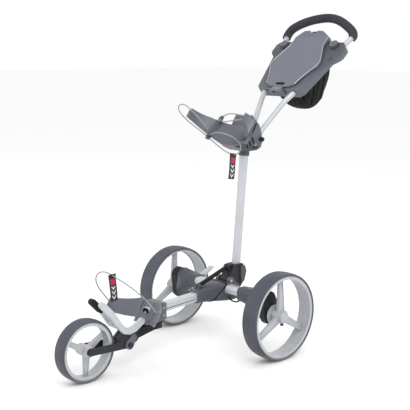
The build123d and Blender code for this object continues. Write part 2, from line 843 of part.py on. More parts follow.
# ---------------------------------------------------------------- handle and console
def handle_paths():
    """Lower left tube, the loop over the top and the lower right tube, as three wires."""
    jy, jz = handle_pivot
    dy, dz, reach = unit(handle_pivot, knee[1:])
    lower = []
    for sign in (1, -1):
        with BuildLine() as wire:
            FilletPolyline(
                at(sign * tube_pivot_x, jy - 12 * dy, jz - 12 * dz),
                at(sign * tube_pivot_x, jy + 34 * dy, jz + 34 * dz),
                at(sign * knee[0], knee[1], knee[2]),
                at(sign * grip_end[0], grip_end[1], grip_end[2]),
                radius=knee_bend_r,
            )
        lower.append(wire.line)
    d = [grip_end[i] - knee[i] for i in range(3)]
    with BuildLine() as loop:
        Spline(
            at(*grip_end),
            at(120, 486.5, 1091),
            at(0, top_mid_y, top_mid_z),
            at(-120, 486.5, 1091),
            at(-grip_end[0], grip_end[1], grip_end[2]),
            tangents=((d[0], d[1], d[2]), (d[0], -d[1], -d[2])),
        )
    return lower[0], loop.line, lower[1]


def make_handle():
    """Tubular handle loop and the foam grip over its arch."""
    left, loop, right = handle_paths()
    with BuildPart() as tube:
        for path in (left, loop, right):
            with BuildSketch(Plane(origin=path @ 0, z_dir=path % 0)):
                Circle(tube_r)
                Circle(tube_r - tube_wall, mode=Mode.SUBTRACT)
            sweep(path=path)
        with BuildSketch(side_plane(0)):
            with Locations(handle_pivot):
                Circle(handle_pin_r + axle_fit)
        extrude(amount=60, both=True, mode=Mode.SUBTRACT)
    finish(tube, "handle_tube")
    with BuildPart() as grip:
        with BuildSketch(Plane(origin=loop @ 0, z_dir=loop % 0)):
            Circle(grip_r)
            Circle(tube_r, mode=Mode.SUBTRACT)
        sweep(path=loop)
    finish(grip, "handle_grip")


def console_at(x, s, n):
    """Point from the console's low end: x across, s up the tubes, n square out of them."""
    slope = radians(console_slope)
    return at(x, console_y + s * cos(slope) - n * sin(slope), console_z + s * sin(slope) + n * cos(slope))


def console_side(x):
    """Plane seen from the left: its x runs up the console, its y out of it."""
    slope = radians(console_slope)
    return Plane(origin=console_at(x, 0, 0), x_dir=(0, cos(slope), sin(slope)), z_dir=(1, 0, 0))


def mirrored(points):
    """Closed outline from its right half, listed from the bottom to the top."""
    return [*points, *[(-x, y) for x, y in reversed(points)]]


lid_base = console_up + moving_gap
hinge_r = 4.5
hinge_at = (-28, lid_base + hinge_r)
lid_outline = (
    (40, -10), (66, 2), (71, 22), (88, 59), (110, 95), (113, 118), (98, 153), (77, 200), (77, 240),
    (44, 260), (17, 262), (14, 254),
)
lid_top = ((-30, 18), (60, 20), (160, 22), (240, 26), (262, 36), (280, 38))


def make_console():
    """Console shell round the tubes, its lid, hinge pin, latch, accessory caps and bolts."""
    left, loop, right = handle_paths()
    with BuildPart() as shell:
        with BuildSketch(console_plane.offset(-console_down)):
            Polygon(
                *mirrored(((88, -22), (102, -8), (133, 144), (152, 160), (160, 174), (160, 208), (150, 222),
                           (84, 226), (72, 248), (30, 252))),
                align=None,
            )
        extrude(amount=console_down + console_up)
        with BuildSketch(console_plane.offset(console_up)):
            with Locations((-cap_x, cap_s), (cap_x, cap_s)):
                Circle(boss_r)
        extrude(amount=4)
        with BuildSketch(console_plane.offset(console_up)):
            Polygon(*mirrored(((52, 20), (64, 30), (90, 100), (88, 130), (62, 196))), align=None)
        extrude(amount=-22, mode=Mode.SUBTRACT)
        for sign in (1, -1):
            with BuildSketch(console_side(sign * 24)):
                with Locations(hinge_at):
                    Circle(hinge_r)
                with Locations((-14, 6), (-20, 0)):
                    Circle(6)
                make_hull()
            extrude(amount=sign * 8)
        with BuildSketch(console_side(0)):
            with Locations(hinge_at):
                Circle(2.5)
        extrude(amount=60, both=True, mode=Mode.SUBTRACT)
        with BuildSketch(console_plane.offset(console_up + 4)):
            with Locations((-cap_x, cap_s), (cap_x, cap_s)):
                Circle(4)
        extrude(amount=-12, mode=Mode.SUBTRACT)
        for path in (left, loop, right):
            with BuildSketch(Plane(origin=path @ 0, z_dir=path % 0)):
                Circle(tube_r)
            sweep(path=path, mode=Mode.SUBTRACT)
    finish(shell, "console_shell")

    with BuildPart() as lid:
        with BuildSketch(console_plane.offset(lid_base)):
            Polygon(*mirrored(lid_outline), align=None)
        extrude(amount=30)
        with BuildSketch(console_side(0)):
            Polygon((-30, lid_base), *lid_top, (280, lid_base), align=None)
        extrude(amount=200, both=True, mode=Mode.INTERSECT)
        with BuildSketch(console_side(-23)):
            with Locations(hinge_at):
                Circle(hinge_r)
            with Locations((-12, lid_base + 2)):
                Circle(2)
            make_hull()
        extrude(amount=46)
        with BuildSketch(console_side(0)):
            with Locations(hinge_at):
                Circle(2.5 + axle_fit)
        extrude(amount=60, both=True, mode=Mode.SUBTRACT)
    finish(lid, "console_lid")

    with BuildPart() as pin:
        with BuildSketch(console_side(-33)):
            with Locations(hinge_at):
                Circle(2.5)
        extrude(amount=66)
    finish(pin, "lid_hinge_pin")

    with BuildPart() as latch:
        with BuildSketch(console_plane.offset(lid_base)):
            with Locations((0, 260)):
                RectangleRounded(24, 9, 2)
        extrude(amount=14)
        with BuildSketch(console_plane.offset(2)):
            with Locations((0, 260)):
                RectangleRounded(16, 7, 2)
        extrude(amount=16)
    finish(latch, "lid_latch")

    for name, sign in sides:
        with BuildPart() as cap:
            with BuildSketch(console_plane.offset(console_up + 4 + moving_gap)):
                with Locations((sign * cap_x, cap_s)):
                    Circle(cap_r)
                    with Locations((0, 0)):
                        Rectangle(2, 2 * cap_r - 8, mode=Mode.SUBTRACT)
            extrude(amount=cap_t)
            with BuildSketch(console_plane.offset(console_up + 4 + moving_gap)):
                with Locations((sign * cap_x, cap_s)):
                    Circle(4 - axle_fit)
            extrude(amount=-10)
        finish(cap, f"accessory_cap_{name}")

    with BuildPart() as bag:
        with BuildSketch(console_side(0)):
            Polygon(
                (8, -console_down - soft_gap), (6, -60), (26, -118), (80, -158), (150, -162), (212, -128),
                (244, -66), (246, -console_down - soft_gap), align=None,
            )
        extrude(amount=62, both=True)
        fillet(bag.faces().sort_by(Axis.X)[-1].edges(), radius=14)
        fillet(bag.faces().sort_by(Axis.X)[0].edges(), radius=14)
    finish(bag, "net_bag")


# ---------------------------------------------------------------- front bracket, foot and fork
foot_path = ((-546, 237), (-508, 198), (-479, 156), (-462, 139), (-440, 133), (-420, 138), (-392, 156))
prong_path = ((-546, 237), (-508, 198), (-479, 156))


def slot_run(points, width):
    """Band of the given width along a run of points, drawn in the current sketch."""
    for a, b in zip(points[:-1], points[1:]):
        du, dv, length = unit(a, b)
        with Locations(((a[0] + b[0]) / 2, (a[1] + b[1]) / 2)):
            SlotCenterToCenter(length, width, rotation=degrees(atan2(dv, du)))


def make_lower_bracket():
    """Sleeve on the beam's front end with the two lower cradle arms."""
    r1 = bag_r + lower_arm_wall
    with BuildPart() as bracket:
        with BuildSketch(side_plane(0)):
            Polygon(
                (sleeve_back_y, 144), (sleeve_back_y, 198), (-331, 203), (-352, 176), (-400, 152),
                (-406, 142), (-340, 138), align=None,
            )
        extrude(amount=sleeve_w / 2 + 6, both=True)
        add(ring_sector(0.1, bag_r, 89, -140, 260), mode=Mode.SUBTRACT)
        with BuildSketch(beam_plane()):
            RectangleRounded(beam_w, beam_h, beam_corner)
        extrude(amount=beam_l, mode=Mode.SUBTRACT)
        with BuildSketch(side_plane(foot_x - foot_bar_t / 2)):
            slot_run(foot_path, foot_bar_h)
        extrude(amount=foot_bar_t, mode=Mode.SUBTRACT)
    finish(bracket, "lower_bracket")

    near = sleeve_w / 2 + 6
    with BuildPart() as arms:
        add(ring_sector(bag_r, r1, lower_arm_angle, -120, 120))
        with BuildSketch(bag_side_plane()):
            for name, sign in sides:
                Polygon(
                    (sign * near, -16), (sign * 112, -62), (sign * 124, -68), (sign * 124, -106),
                    (sign * 112, -106), (sign * near, -84), align=None,
                )
        extrude(amount=2 * r1, both=True, mode=Mode.INTERSECT)
        with BuildSketch(bag_plane.offset(-98)):
            with Locations((117, 72), (-117, 72)):
                Circle(6)
        extrude(amount=36)
    finish(arms, "lower_arms")


def make_foot():
    """Foot the bag stands on: the J-shaped bar, the short prong beside it and its rubber cap."""
    half = foot_bar_t / 2
    with BuildPart() as foot:
        with BuildSketch(side_plane(foot_x - half)):
            slot_run(foot_path, foot_bar_h)
        extrude(amount=foot_bar_t)
        with BuildSketch(side_plane(-foot_x - half)):
            slot_run(prong_path, foot_bar_h - 2 * foot_cap_wall)
        extrude(amount=foot_bar_t)
        with BuildSketch(side_plane(0)):
            slot_run(((-484, 163), (-476, 152)), foot_bar_h - 2 * foot_cap_wall)
        extrude(amount=foot_x + half, both=True)
    finish(foot, "foot_bar")
    du, dv, _ = unit(prong_path[0], prong_path[1])
    with BuildPart() as cap:
        run = (prong_path[0], along(prong_path[0], prong_path[1], foot_cap_l))
        with BuildSketch(side_plane(-foot_x - half - foot_cap_wall)):
            slot_run(run, foot_bar_h)
        extrude(amount=foot_bar_t + 2 * foot_cap_wall)
        with BuildSketch(side_plane(-foot_x - half)):
            slot_run(prong_path, foot_bar_h - 2 * foot_cap_wall)
        extrude(amount=foot_bar_t, mode=Mode.SUBTRACT)
    finish(cap, "foot_cap")


def make_fork():
    """Front leg under the beam, the fork's pivot, its ears, plates and crown."""
    leg_half = fork_in - moving_gap
    ear_in = fork_out + moving_gap
    a, top = fork_pivot, (-318, 128)
    with BuildPart() as leg:
        with BuildSketch(side_plane(0)):
            with Locations(a):
                Circle(14)
            with Locations((-420, 108)):
                Circle(16)
            make_hull()
        extrude(amount=leg_half, both=True)
        with BuildSketch(side_plane(0)):
            slot_run(((-420, 108), top), 26)
        extrude(amount=18, both=True)
        with BuildSketch(side_plane(0)):
            Polygon((-350, 141), (-296, 143), (-300, 112), (-350, 112), align=None)
        extrude(amount=18, both=True)
        with BuildSketch(side_plane(0)):
            Polygon(
                (-450, 220), (-406, 220), (-406, 142), (-340, 138), (sleeve_back_y, 144),
                (sleeve_back_y, 220), align=None,
            )
            slot_run(foot_path, foot_bar_h)
        extrude(amount=60, both=True, mode=Mode.SUBTRACT)
        with BuildSketch(side_plane(0)):
            with Locations(a):
                Circle(fork_pin_r)
        extrude(amount=60, both=True, mode=Mode.SUBTRACT)
    finish(leg, "front_leg")

    with BuildPart() as ears:
        for name, sign in sides:
            with BuildSketch(side_plane(sign * ear_in)):
                with Locations(a):
                    Circle(15)
                with Locations((-432, 112)):
                    Circle(11)
                make_hull()
                with Locations(a):
                    Circle(fork_pin_r, mode=Mode.SUBTRACT)
            extrude(amount=sign * ear_t)
            with BuildSketch(side_plane(sign * leg_half)):
                with Locations((-426, 113)):
                    Circle(9)
            extrude(amount=sign * (ear_in - leg_half))
    finish(ears, "fork_ears")

    with BuildPart() as pin:
        with BuildSketch(side_plane(0)):
            with Locations(a):
                Circle(fork_pin_r)
        extrude(amount=ear_in + ear_t, both=True)
        for sign in (1, -1):
            with BuildSketch(side_plane(sign * (ear_in + ear_t))):
                with Locations(a):
                    RegularPolygon(9, 6)
            extrude(amount=sign * 5)
    finish(pin, "fork_pivot_pin")

    with BuildPart() as fork:
        for sign in (1, -1):
            with BuildSketch(side_plane(sign * fork_in)):
                with Locations(a, (-wheelbase, front_tyre_r)):
                    Circle(fork_plate_h / 2)
                make_hull()
                with Locations(a):
                    Circle(fork_pin_r + axle_fit, mode=Mode.SUBTRACT)
                with Locations((-wheelbase, front_tyre_r)):
                    Circle(front_axle_r, mode=Mode.SUBTRACT)
            extrude(amount=sign * fork_plate_t)
        with BuildSketch(side_plane(0)):
            with Locations(along(a, (-wheelbase, front_tyre_r), 30)):
                RectangleRounded(8, fork_plate_h - 4, 2)
        extrude(amount=fork_in, both=True)
    finish(fork, "front_fork")


# ---------------------------------------------------------------- cords, tags and brake cable
cord_r = 2.0
tag_w = 26.0
tag_t = 2.4
tag_l = 84.0

# each run: points from the bag's axis (across, back, up along the axis)
upper_strand_high = ((-68, 113, 664), (-22, 76, 652), (52, 38, 642), (130, 26, 628))
upper_strand_low = ((-68, 113, 652), (-20, 86, 630), (52, 48, 618), (130, 26, 616))
upper_loop = (
    (-88, 113, 592), (-78, 62, 604), (-112, 20, 624), (-150, -2, 642), (-160, -14, 622),
    (-146, 2, 602), (-118, 40, 588), (-84, 70, 578), (-90, 113, 580),
)
upper_tag_run = (
    (-86, 113, 586), (-34, 74, 586), (34, 88, 586), (74, 108, 572), (84, 116, 552),
    (58, 138, 540), (20, 133, 538), (-24, 116, 552), (-60, 104, 568), (-84, 113, 578),
)
lower_tag_run = (
    (115, 70, -66), (98, 36, -48), (70, 12, -36), (34, -14, -26), (-12, -32, -18), (-48, -50, -12),
    (-70, -60, -20), (-90, -50, -38), (-100, -22, -56), (-106, 20, -68), (-114, 69, -78),
)
cable_run = ((44, -20, 172), (62, -30, 163), (94, -33, 162), (114, -20, 176))


def corner_radii(points):
    """Bend radius at each inner point: 0.45 of the shorter run over the tangent of half the turn."""
    runs = [Vector(*b) - Vector(*a) for a, b in zip(points[:-1], points[1:])]
    radii = []
    for before, after in zip(runs[:-1], runs[1:]):
        half = radians(before.get_angle(after)) / 2
        radii.append(0.45 * min(before.length, after.length) / tan(half))
    return radii


def round_run(label, points, r):
    """Round cord or cable along the points, straight runs joined by arcs."""
    with BuildLine() as wire:
        FilletPolyline(*points, radius=corner_radii(points))
    path = wire.line
    with BuildPart() as run:
        with BuildSketch(Plane(origin=path @ 0, z_dir=path % 0)):
            Circle(r)
        sweep(path=path)
    finish(run, label)


def tag_on(label, top, lean_y):
    """Fabric tag hanging from a cord, its top at the given point."""
    plane = Plane(origin=top, x_dir=(0, 1, 0), z_dir=(0, -sin(radians(lean_y)), -cos(radians(lean_y))))
    with BuildPart() as tag:
        with BuildSketch(plane.offset(-3)):
            RectangleRounded(tag_w, tag_t + 2 * cord_r, 1.5)
        extrude(amount=8)
        with BuildSketch(plane):
            Rectangle(tag_w, tag_t)
        extrude(amount=tag_l)
    finish(tag, label)


def make_soft():
    """Elastic cords of both cradles, their tags and the brake cable."""
    round_run("upper_cord_high", [bag_at(*p) for p in upper_strand_high], cord_r)
    round_run("upper_cord_low", [bag_at(*p) for p in upper_strand_low], cord_r)
    round_run("upper_cord_loop", [bag_at(*p) for p in upper_loop], cord_r)
    round_run("upper_tag_cord", [bag_at(*p) for p in upper_tag_run], cord_r)
    round_run("lower_cord", [bag_at(*p) for p in lower_tag_run], cord_r)
    round_run("brake_cable", [at(*p) for p in cable_run], cable_d / 2)
    tag_on("upper_tag", bag_at(39, 135.5, 539), 8)
    tag_on("lower_tag", bag_at(-30, -41, -15), -4)


def make_fasteners():
    """Screws that hold the wheel brackets, the lower bracket and the upper bracket."""
    with BuildPart() as screws:
        for sign in (1, -1):
            with BuildSketch(side_plane(sign * (cheek_in + cheek_t))):
                with Locations((92, 770), (104, 684)):
                    Circle(4.5)
            extrude(amount=sign * 3)
            with BuildSketch(side_plane(sign * (cheek_in + cheek_t))):
                with Locations((92, 770), (104, 684)):
                    RegularPolygon(2.2, 6)
            extrude(amount=sign * 4, mode=Mode.SUBTRACT)
    finish(screws, "upper_screws")
    with BuildPart() as screws:
        for sign in (1, -1):
            with BuildSketch(side_plane(sign * (sleeve_w / 2 + 6))):
                with Locations((-306, 184), (-306, 158)):
                    Circle(4.5)
            extrude(amount=sign * 3)
    finish(screws, "lower_screws")


make_rear_wheels()
make_front_wheel()
make_axle_group()
make_pedal()
make_hub()
make_mast()
make_saddle()
make_upper_bracket()
make_handle()
make_console()
make_lower_bracket()
make_foot()
make_fork()
make_soft()
make_fasteners()
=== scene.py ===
"""Looks of a folding three-wheel golf push trolley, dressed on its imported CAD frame.

Metres, +Z up.  The front wheel points to -Y and +X is the pusher's left.  Sizes in the classes are
millimetres from the rear axle (y) and the ground (z); the module's place functions turn them into
points of the row frame.
"""
from __future__ import annotations

import logging
import math
from collections.abc import Sequence
from dataclasses import dataclass, field
from enum import Enum

import bmesh
import bpy
import numpy as np
from mathutils import Matrix, Vector

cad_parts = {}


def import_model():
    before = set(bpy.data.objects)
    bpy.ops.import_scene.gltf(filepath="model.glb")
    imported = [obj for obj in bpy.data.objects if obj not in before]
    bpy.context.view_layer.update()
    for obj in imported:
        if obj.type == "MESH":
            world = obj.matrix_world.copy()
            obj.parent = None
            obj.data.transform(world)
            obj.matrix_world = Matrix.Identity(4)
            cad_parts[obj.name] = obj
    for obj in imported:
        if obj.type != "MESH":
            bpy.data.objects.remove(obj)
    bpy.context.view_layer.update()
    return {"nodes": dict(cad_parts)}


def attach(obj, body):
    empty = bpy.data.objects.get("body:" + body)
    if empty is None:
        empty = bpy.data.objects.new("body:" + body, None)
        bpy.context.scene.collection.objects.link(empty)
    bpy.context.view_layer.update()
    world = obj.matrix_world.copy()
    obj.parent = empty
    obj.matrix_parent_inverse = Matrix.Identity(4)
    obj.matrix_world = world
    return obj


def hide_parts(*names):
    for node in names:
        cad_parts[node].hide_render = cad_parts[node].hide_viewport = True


log = logging.getLogger("trolley")

Point = tuple[float, float, float]
Colour = tuple[float, float, float]
Span = tuple[float, float]
Tree = bpy.types.NodeTree
Node = bpy.types.Node
Socket = bpy.types.NodeSocket
Material = bpy.types.Material
Piece = bpy.types.Object

# how far the rear axle lies behind the origin
AXLE_Y = 85.75
# lean of the golf bag's middle line, and a point of it (y, z)
BAG_TILT = math.radians(35.0)
BAG_AXIS = (-422.4, 296.1)
# slope of the handle tubes, and the console's low end on them (y, z)
CONSOLE_SLOPE = math.radians(42.7)
CONSOLE_FOOT = (279.0, 872.0)

# the UV map that fabric patterns follow
WEAVE_MAP = "weave"
# part of a noise's range that mottling and roughness are read from
MOTTLE_SPAN = (0.35, 0.68)
ROUGH_SPAN = (0.3, 0.7)
# how much finer the roughness wanders than the mottling
ROUGH_PACE = 3.1
# pointiness at which an edge starts and ends being rubbed
EDGE_SPAN = (0.52, 0.62)
# height in metres below which dust shows, and its colour
DUST_TOP = 0.05
DUST_COLOUR = (0.30, 0.28, 0.25)
CLOTH_SHEEN = 0.06
# how softly a net's holes start
HOLE_EDGE = 0.08


class Body(Enum):
    """Bodies of the frame that the dressed pieces ride on."""

    CHASSIS = "chassis"
    MAST = "mast"
    HANDLE = "handle"
    LID = "lid"
    KNOB = "knob"


def at(x: float, y: float, z: float) -> Point:
    """Point of the row frame from millimetres off the rear axle and the ground.

    Args:
        x: millimetres to the left.
        y: millimetres behind the rear axle.
        z: millimetres above the ground.

    Returns:
        The point in metres.
    """
    return (x / 1000, (y + AXLE_Y) / 1000, z / 1000)


def bag_at(x: float, v: float, w: float) -> Point:
    """Point given from the leaning line that the golf bag's middle follows.

    Args:
        x: millimetres across.
        v: millimetres back from the line.
        w: millimetres up along the line.

    Returns:
        The point in metres.
    """
    c, s = math.cos(BAG_TILT), math.sin(BAG_TILT)
    return at(x, BAG_AXIS[0] + v * c + w * s, BAG_AXIS[1] - v * s + w * c)


def console_at(x: float, s: float, n: float) -> Point:
    """Point given in the plane of the handle tubes.

    Args:
        x: millimetres across.
        s: millimetres up along the tubes from the console's low end.
        n: millimetres square out of the tubes' plane.

    Returns:
        The point in metres.
    """
    c, k = math.cos(CONSOLE_SLOPE), math.sin(CONSOLE_SLOPE)
    return at(x, CONSOLE_FOOT[0] + s * c - n * k, CONSOLE_FOOT[1] + s * k + n * c)


# ------------------------------------------------------------------ finishes
@dataclass
class NodeKit:
    """A material's node tree and the small steps that it is made of."""

    tree: Tree

    def add(self, kind: str, *feeds: Socket) -> Node:
        """Add a node and feed its first inputs.

        Args:
            kind: the node's type after ShaderNode.
            feeds: sockets for its inputs, from the first on.

        Returns:
            The node.
        """
        node = self.tree.nodes.new(f"ShaderNode{kind}")
        for feed, socket in zip(feeds, node.inputs):
            self.tree.links.new(feed, socket)
        return node

    def place(self) -> Socket:
        """The object's own coordinates."""
        return self.add("TexCoord").outputs["Object"]

    def weave_map(self) -> Socket:
        """The piece's own UV map."""
        node = self.add("UVMap")
        node.uv_map = WEAVE_MAP
        return node.outputs[0]

    def noise(self, scale: float) -> Socket:
        """Noise on the object's own coordinates.

        Args:
            scale: frequency per metre.

        Returns:
            The noise's socket.
        """
        node = self.add("TexNoise", self.place())
        node.inputs["Scale"].default_value = scale
        node.inputs["Detail"].default_value = 4.0
        return node.outputs[0]

    def blend(self, amount: Socket, a: Socket | Colour, b: Socket | Colour) -> Socket:
        """Mix two colours.

        Args:
            amount: socket that drives the mix.
            a: colour or socket at 0.
            b: colour or socket at 1.

        Returns:
            The mixed colour's socket.
        """
        mix = self.add("Mix", amount)
        mix.data_type = "RGBA"
        for socket, value in ((mix.inputs[6], a), (mix.inputs[7], b)):
            if isinstance(value, tuple):
                socket.default_value = (*value, 1.0)
            else:
                self.tree.links.new(value, socket)
        return mix.outputs[2]

    def span(self, source: Socket, read: Span, give: Span) -> Socket:
        """Map a value from one range to another, held at the ends.

        Args:
            source: the value's socket.
            read: start and end of the range read.
            give: values at its start and end.

        Returns:
            The mapped value's socket.
        """
        node = self.add("MapRange", source)
        for i, value in enumerate((*read, *give), start=1):
            node.inputs[i].default_value = value
        return node.outputs[0]

    def both(self, operation: str, a: Socket, b: Socket | float) -> Socket:
        """One arithmetic step.

        Args:
            operation: the Math node's operation.
            a: first value's socket.
            b: second value, a socket or a number.

        Returns:
            The result's socket.
        """
        node = self.add("Math", a)
        node.operation = operation
        if isinstance(b, float):
            node.inputs[1].default_value = b
        else:
            self.tree.links.new(b, node.inputs[1])
        return node.outputs[0]

    def band(self, value: Socket, limits: Span) -> Socket:
        """1 between two limits and 0 outside them.

        Args:
            value: the value's socket.
            limits: the lower and the upper limit.

        Returns:
            The result's socket.
        """
        above = self.both("GREATER_THAN", value, limits[0])
        return self.both("MULTIPLY", above, self.both("LESS_THAN", value, limits[1]))


@dataclass(frozen=True)
class Finish:
    """One surface finish, made into a node material.

    Attributes:
        name: the material's name.
        colour: main colour, linear.
        shade: second colour that the mottling drifts to.
        rough: mean roughness.
        rough_drift: how far roughness wanders either side.
        metal: metallic share.
        mottle: mottling's frequency, per metre.
        grain: grain's frequency, per metre.
        grain_depth: grain's height in metres.
        relief: strength of the grain's bump.
        worn: colour of rubbed edges.
        wear: how much the edges are rubbed, 0 to 1.
        coat: clear coat weight.
        dust: share of pale dust near the ground, 0 to 1.
        shine: specular level.
    """

    name: str
    colour: Colour
    shade: Colour
    rough: float = 0.5
    rough_drift: float = 0.08
    metal: float = 0.0
    mottle: float = 18.0
    grain: float = 900.0
    grain_depth: float = 0.0002
    relief: float = 0.6
    worn: Colour = (0.4, 0.4, 0.42)
    wear: float = 0.15
    coat: float = 0.0
    dust: float = 0.0
    shine: float = 0.5

    def build(self) -> Material:
        """Make the material's node tree.

        Returns:
            The material.
        """
        mat = bpy.data.materials.new(self.name)
        mat.use_nodes = True
        mat.node_tree.nodes.clear()
        kit = NodeKit(mat.node_tree)
        shader = kit.add("BsdfPrincipled")
        kit.add("OutputMaterial", shader.outputs[0])
        shader.inputs["Metallic"].default_value = self.metal
        shader.inputs["Coat Weight"].default_value = self.coat
        shader.inputs["Specular IOR Level"].default_value = self.shine
        colour = self.rub(kit, self.tint(kit))
        if self.dust > 0:
            colour = self.settle_dust(kit, colour)
        kit.tree.links.new(colour, shader.inputs["Base Color"])
        either_side = (self.rough - self.rough_drift, self.rough + self.rough_drift)
        rough = kit.span(kit.noise(self.mottle * ROUGH_PACE), ROUGH_SPAN, either_side)
        kit.tree.links.new(rough, shader.inputs["Roughness"])
        self.pattern(kit, shader)
        return mat

    def tint(self, kit: NodeKit) -> Socket:
        """Colour that drifts between the two tones.

        Args:
            kit: the material's nodes.

        Returns:
            The colour's socket.
        """
        drift = kit.span(kit.noise(self.mottle), MOTTLE_SPAN, (0.0, 1.0))
        return kit.blend(drift, self.colour, self.shade)

    def rub(self, kit: NodeKit, colour: Socket) -> Socket:
        """Paler colour where edges stand out.

        Args:
            kit: the material's nodes.
            colour: the colour so far.

        Returns:
            The colour's socket.
        """
        edge = kit.add("NewGeometry").outputs["Pointiness"]
        return kit.blend(kit.span(edge, EDGE_SPAN, (0.0, self.wear)), colour, self.worn)

    def settle_dust(self, kit: NodeKit, colour: Socket) -> Socket:
        """Dust over the lowest few centimetres.

        Args:
            kit: the material's nodes.
            colour: the colour so far.

        Returns:
            The colour's socket.
        """
        height = kit.add("SeparateXYZ", kit.place()).outputs[2]
        low = kit.span(height, (0.0, DUST_TOP), (self.dust, 0.0))
        return kit.blend(low, colour, DUST_COLOUR)

    def height(self, kit: NodeKit) -> Socket:
        """Height of the fine surface grain."""
        return kit.noise(self.grain)

    def pattern(self, kit: NodeKit, shader: Node) -> Socket:
        """Raise the surface grain as bump.

        Args:
            kit: the material's nodes.
            shader: the material's shader node.

        Returns:
            The grain's height.
        """
        height = self.height(kit)
        bump = kit.add("Bump")
        bump.inputs["Strength"].default_value = self.relief
        bump.inputs["Distance"].default_value = self.grain_depth
        kit.tree.links.new(height, bump.inputs["Height"])
        kit.tree.links.new(bump.outputs[0], shader.inputs["Normal"])
        return height


@dataclass(frozen=True)
class FoamFinish(Finish):
    """Closed-cell foam: small round cells on the skin."""

    def height(self, kit: NodeKit) -> Socket:
        """Cells of the foam's skin.

        Args:
            kit: the material's nodes.

        Returns:
            The height's socket.
        """
        cells = kit.add("TexVoronoi", kit.place())
        cells.inputs["Scale"].default_value = self.grain
        return cells.outputs["Distance"]


@dataclass(frozen=True)
class WovenFinish(Finish):
    """Woven or knitted fabric: two crossing sets of threads along a piece's own UV.

    Attributes:
        threads: the threads' frequency over the coordinates they are laid on.
        open_weave: height below which a net is open, 0 for closed cloth.
        directions: the two ways that the threads run.
    """

    relief: float = 1.0
    threads: float = 60.0
    open_weave: float = 0.0
    directions: tuple[str, str] = ("X", "Y")

    def laid_on(self, kit: NodeKit) -> Socket:
        """Coordinates the threads are laid on."""
        return kit.weave_map()

    def height(self, kit: NodeKit) -> Socket:
        """Height of the threads, the higher of two crossing waves.

        Args:
            kit: the material's nodes.

        Returns:
            The height's socket.
        """
        laid_on = self.laid_on(kit)
        waves = []
        for direction in self.directions:
            wave = kit.add("TexWave", laid_on)
            wave.bands_direction = direction
            wave.inputs["Scale"].default_value = self.threads
            waves.append(wave.outputs["Fac"])
        return kit.both("MAXIMUM", *waves)

    def pattern(self, kit: NodeKit, shader: Node) -> Socket:
        """Raise the threads, and open the gaps between them in a net.

        Args:
            kit: the material's nodes.
            shader: the material's shader node.

        Returns:
            The threads' height.
        """
        height = super().pattern(kit, shader)
        shader.inputs["Sheen Weight"].default_value = CLOTH_SHEEN
        if self.open_weave > 0:
            edge = (self.open_weave, self.open_weave + HOLE_EDGE)
            kit.tree.links.new(kit.span(height, edge, (0.0, 1.0)), shader.inputs["Alpha"])
        return height


@dataclass(frozen=True)
class BraidFinish(WovenFinish):
    """Braided cord: fine crossing threads, laid on the object's own coordinates."""

    directions: tuple[str, str] = ("DIAGONAL", "Z")

    def laid_on(self, kit: NodeKit) -> Socket:
        """Object coordinates, because a cord's curve has no map of its own."""
        return kit.place()


@dataclass(frozen=True)
class TagFinish(WovenFinish):
    """Tag webbing with a red patch and a row of pale chevrons, placed by its UV.

    Each span is a share of the tag's drop (down), of its width (across) or of one repeat.
    """

    patch_down: Span = (0.24, 0.44)
    patch_across: Span = (0.16, 0.84)
    patch: Colour = (0.45, 0.02, 0.06)
    marks_down: Span = (0.50, 0.95)
    marks_across: Span = (0.2, 0.8)
    marks: Colour = (0.72, 0.72, 0.70)
    mark_share: Span = (0.32, 0.72)
    mark_count: float = 6.0
    mark_slope: float = 0.35

    def tint(self, kit: NodeKit) -> Socket:
        """Black webbing, a red patch near the top and pale chevrons below it.

        Args:
            kit: the material's nodes.

        Returns:
            The colour's socket.
        """
        across, down = kit.add("SeparateXYZ", self.laid_on(kit)).outputs[:2]
        red = kit.both("MULTIPLY", kit.band(down, self.patch_down),
                       kit.band(across, self.patch_across))
        colour = kit.blend(red, super().tint(kit), self.patch)
        fold = kit.both("ABSOLUTE", kit.both("SUBTRACT", across, 0.5), 0.0)
        slope = kit.both("ADD", down, kit.both("MULTIPLY", fold, self.mark_slope))
        wave = kit.both("FRACT", kit.both("MULTIPLY", slope, self.mark_count), 0.0)
        mark = kit.both("MULTIPLY", kit.band(wave, self.mark_share),
                        kit.band(down, self.marks_down))
        mark = kit.both("MULTIPLY", mark, kit.band(across, self.marks_across))
        return kit.blend(mark, colour, self.marks)


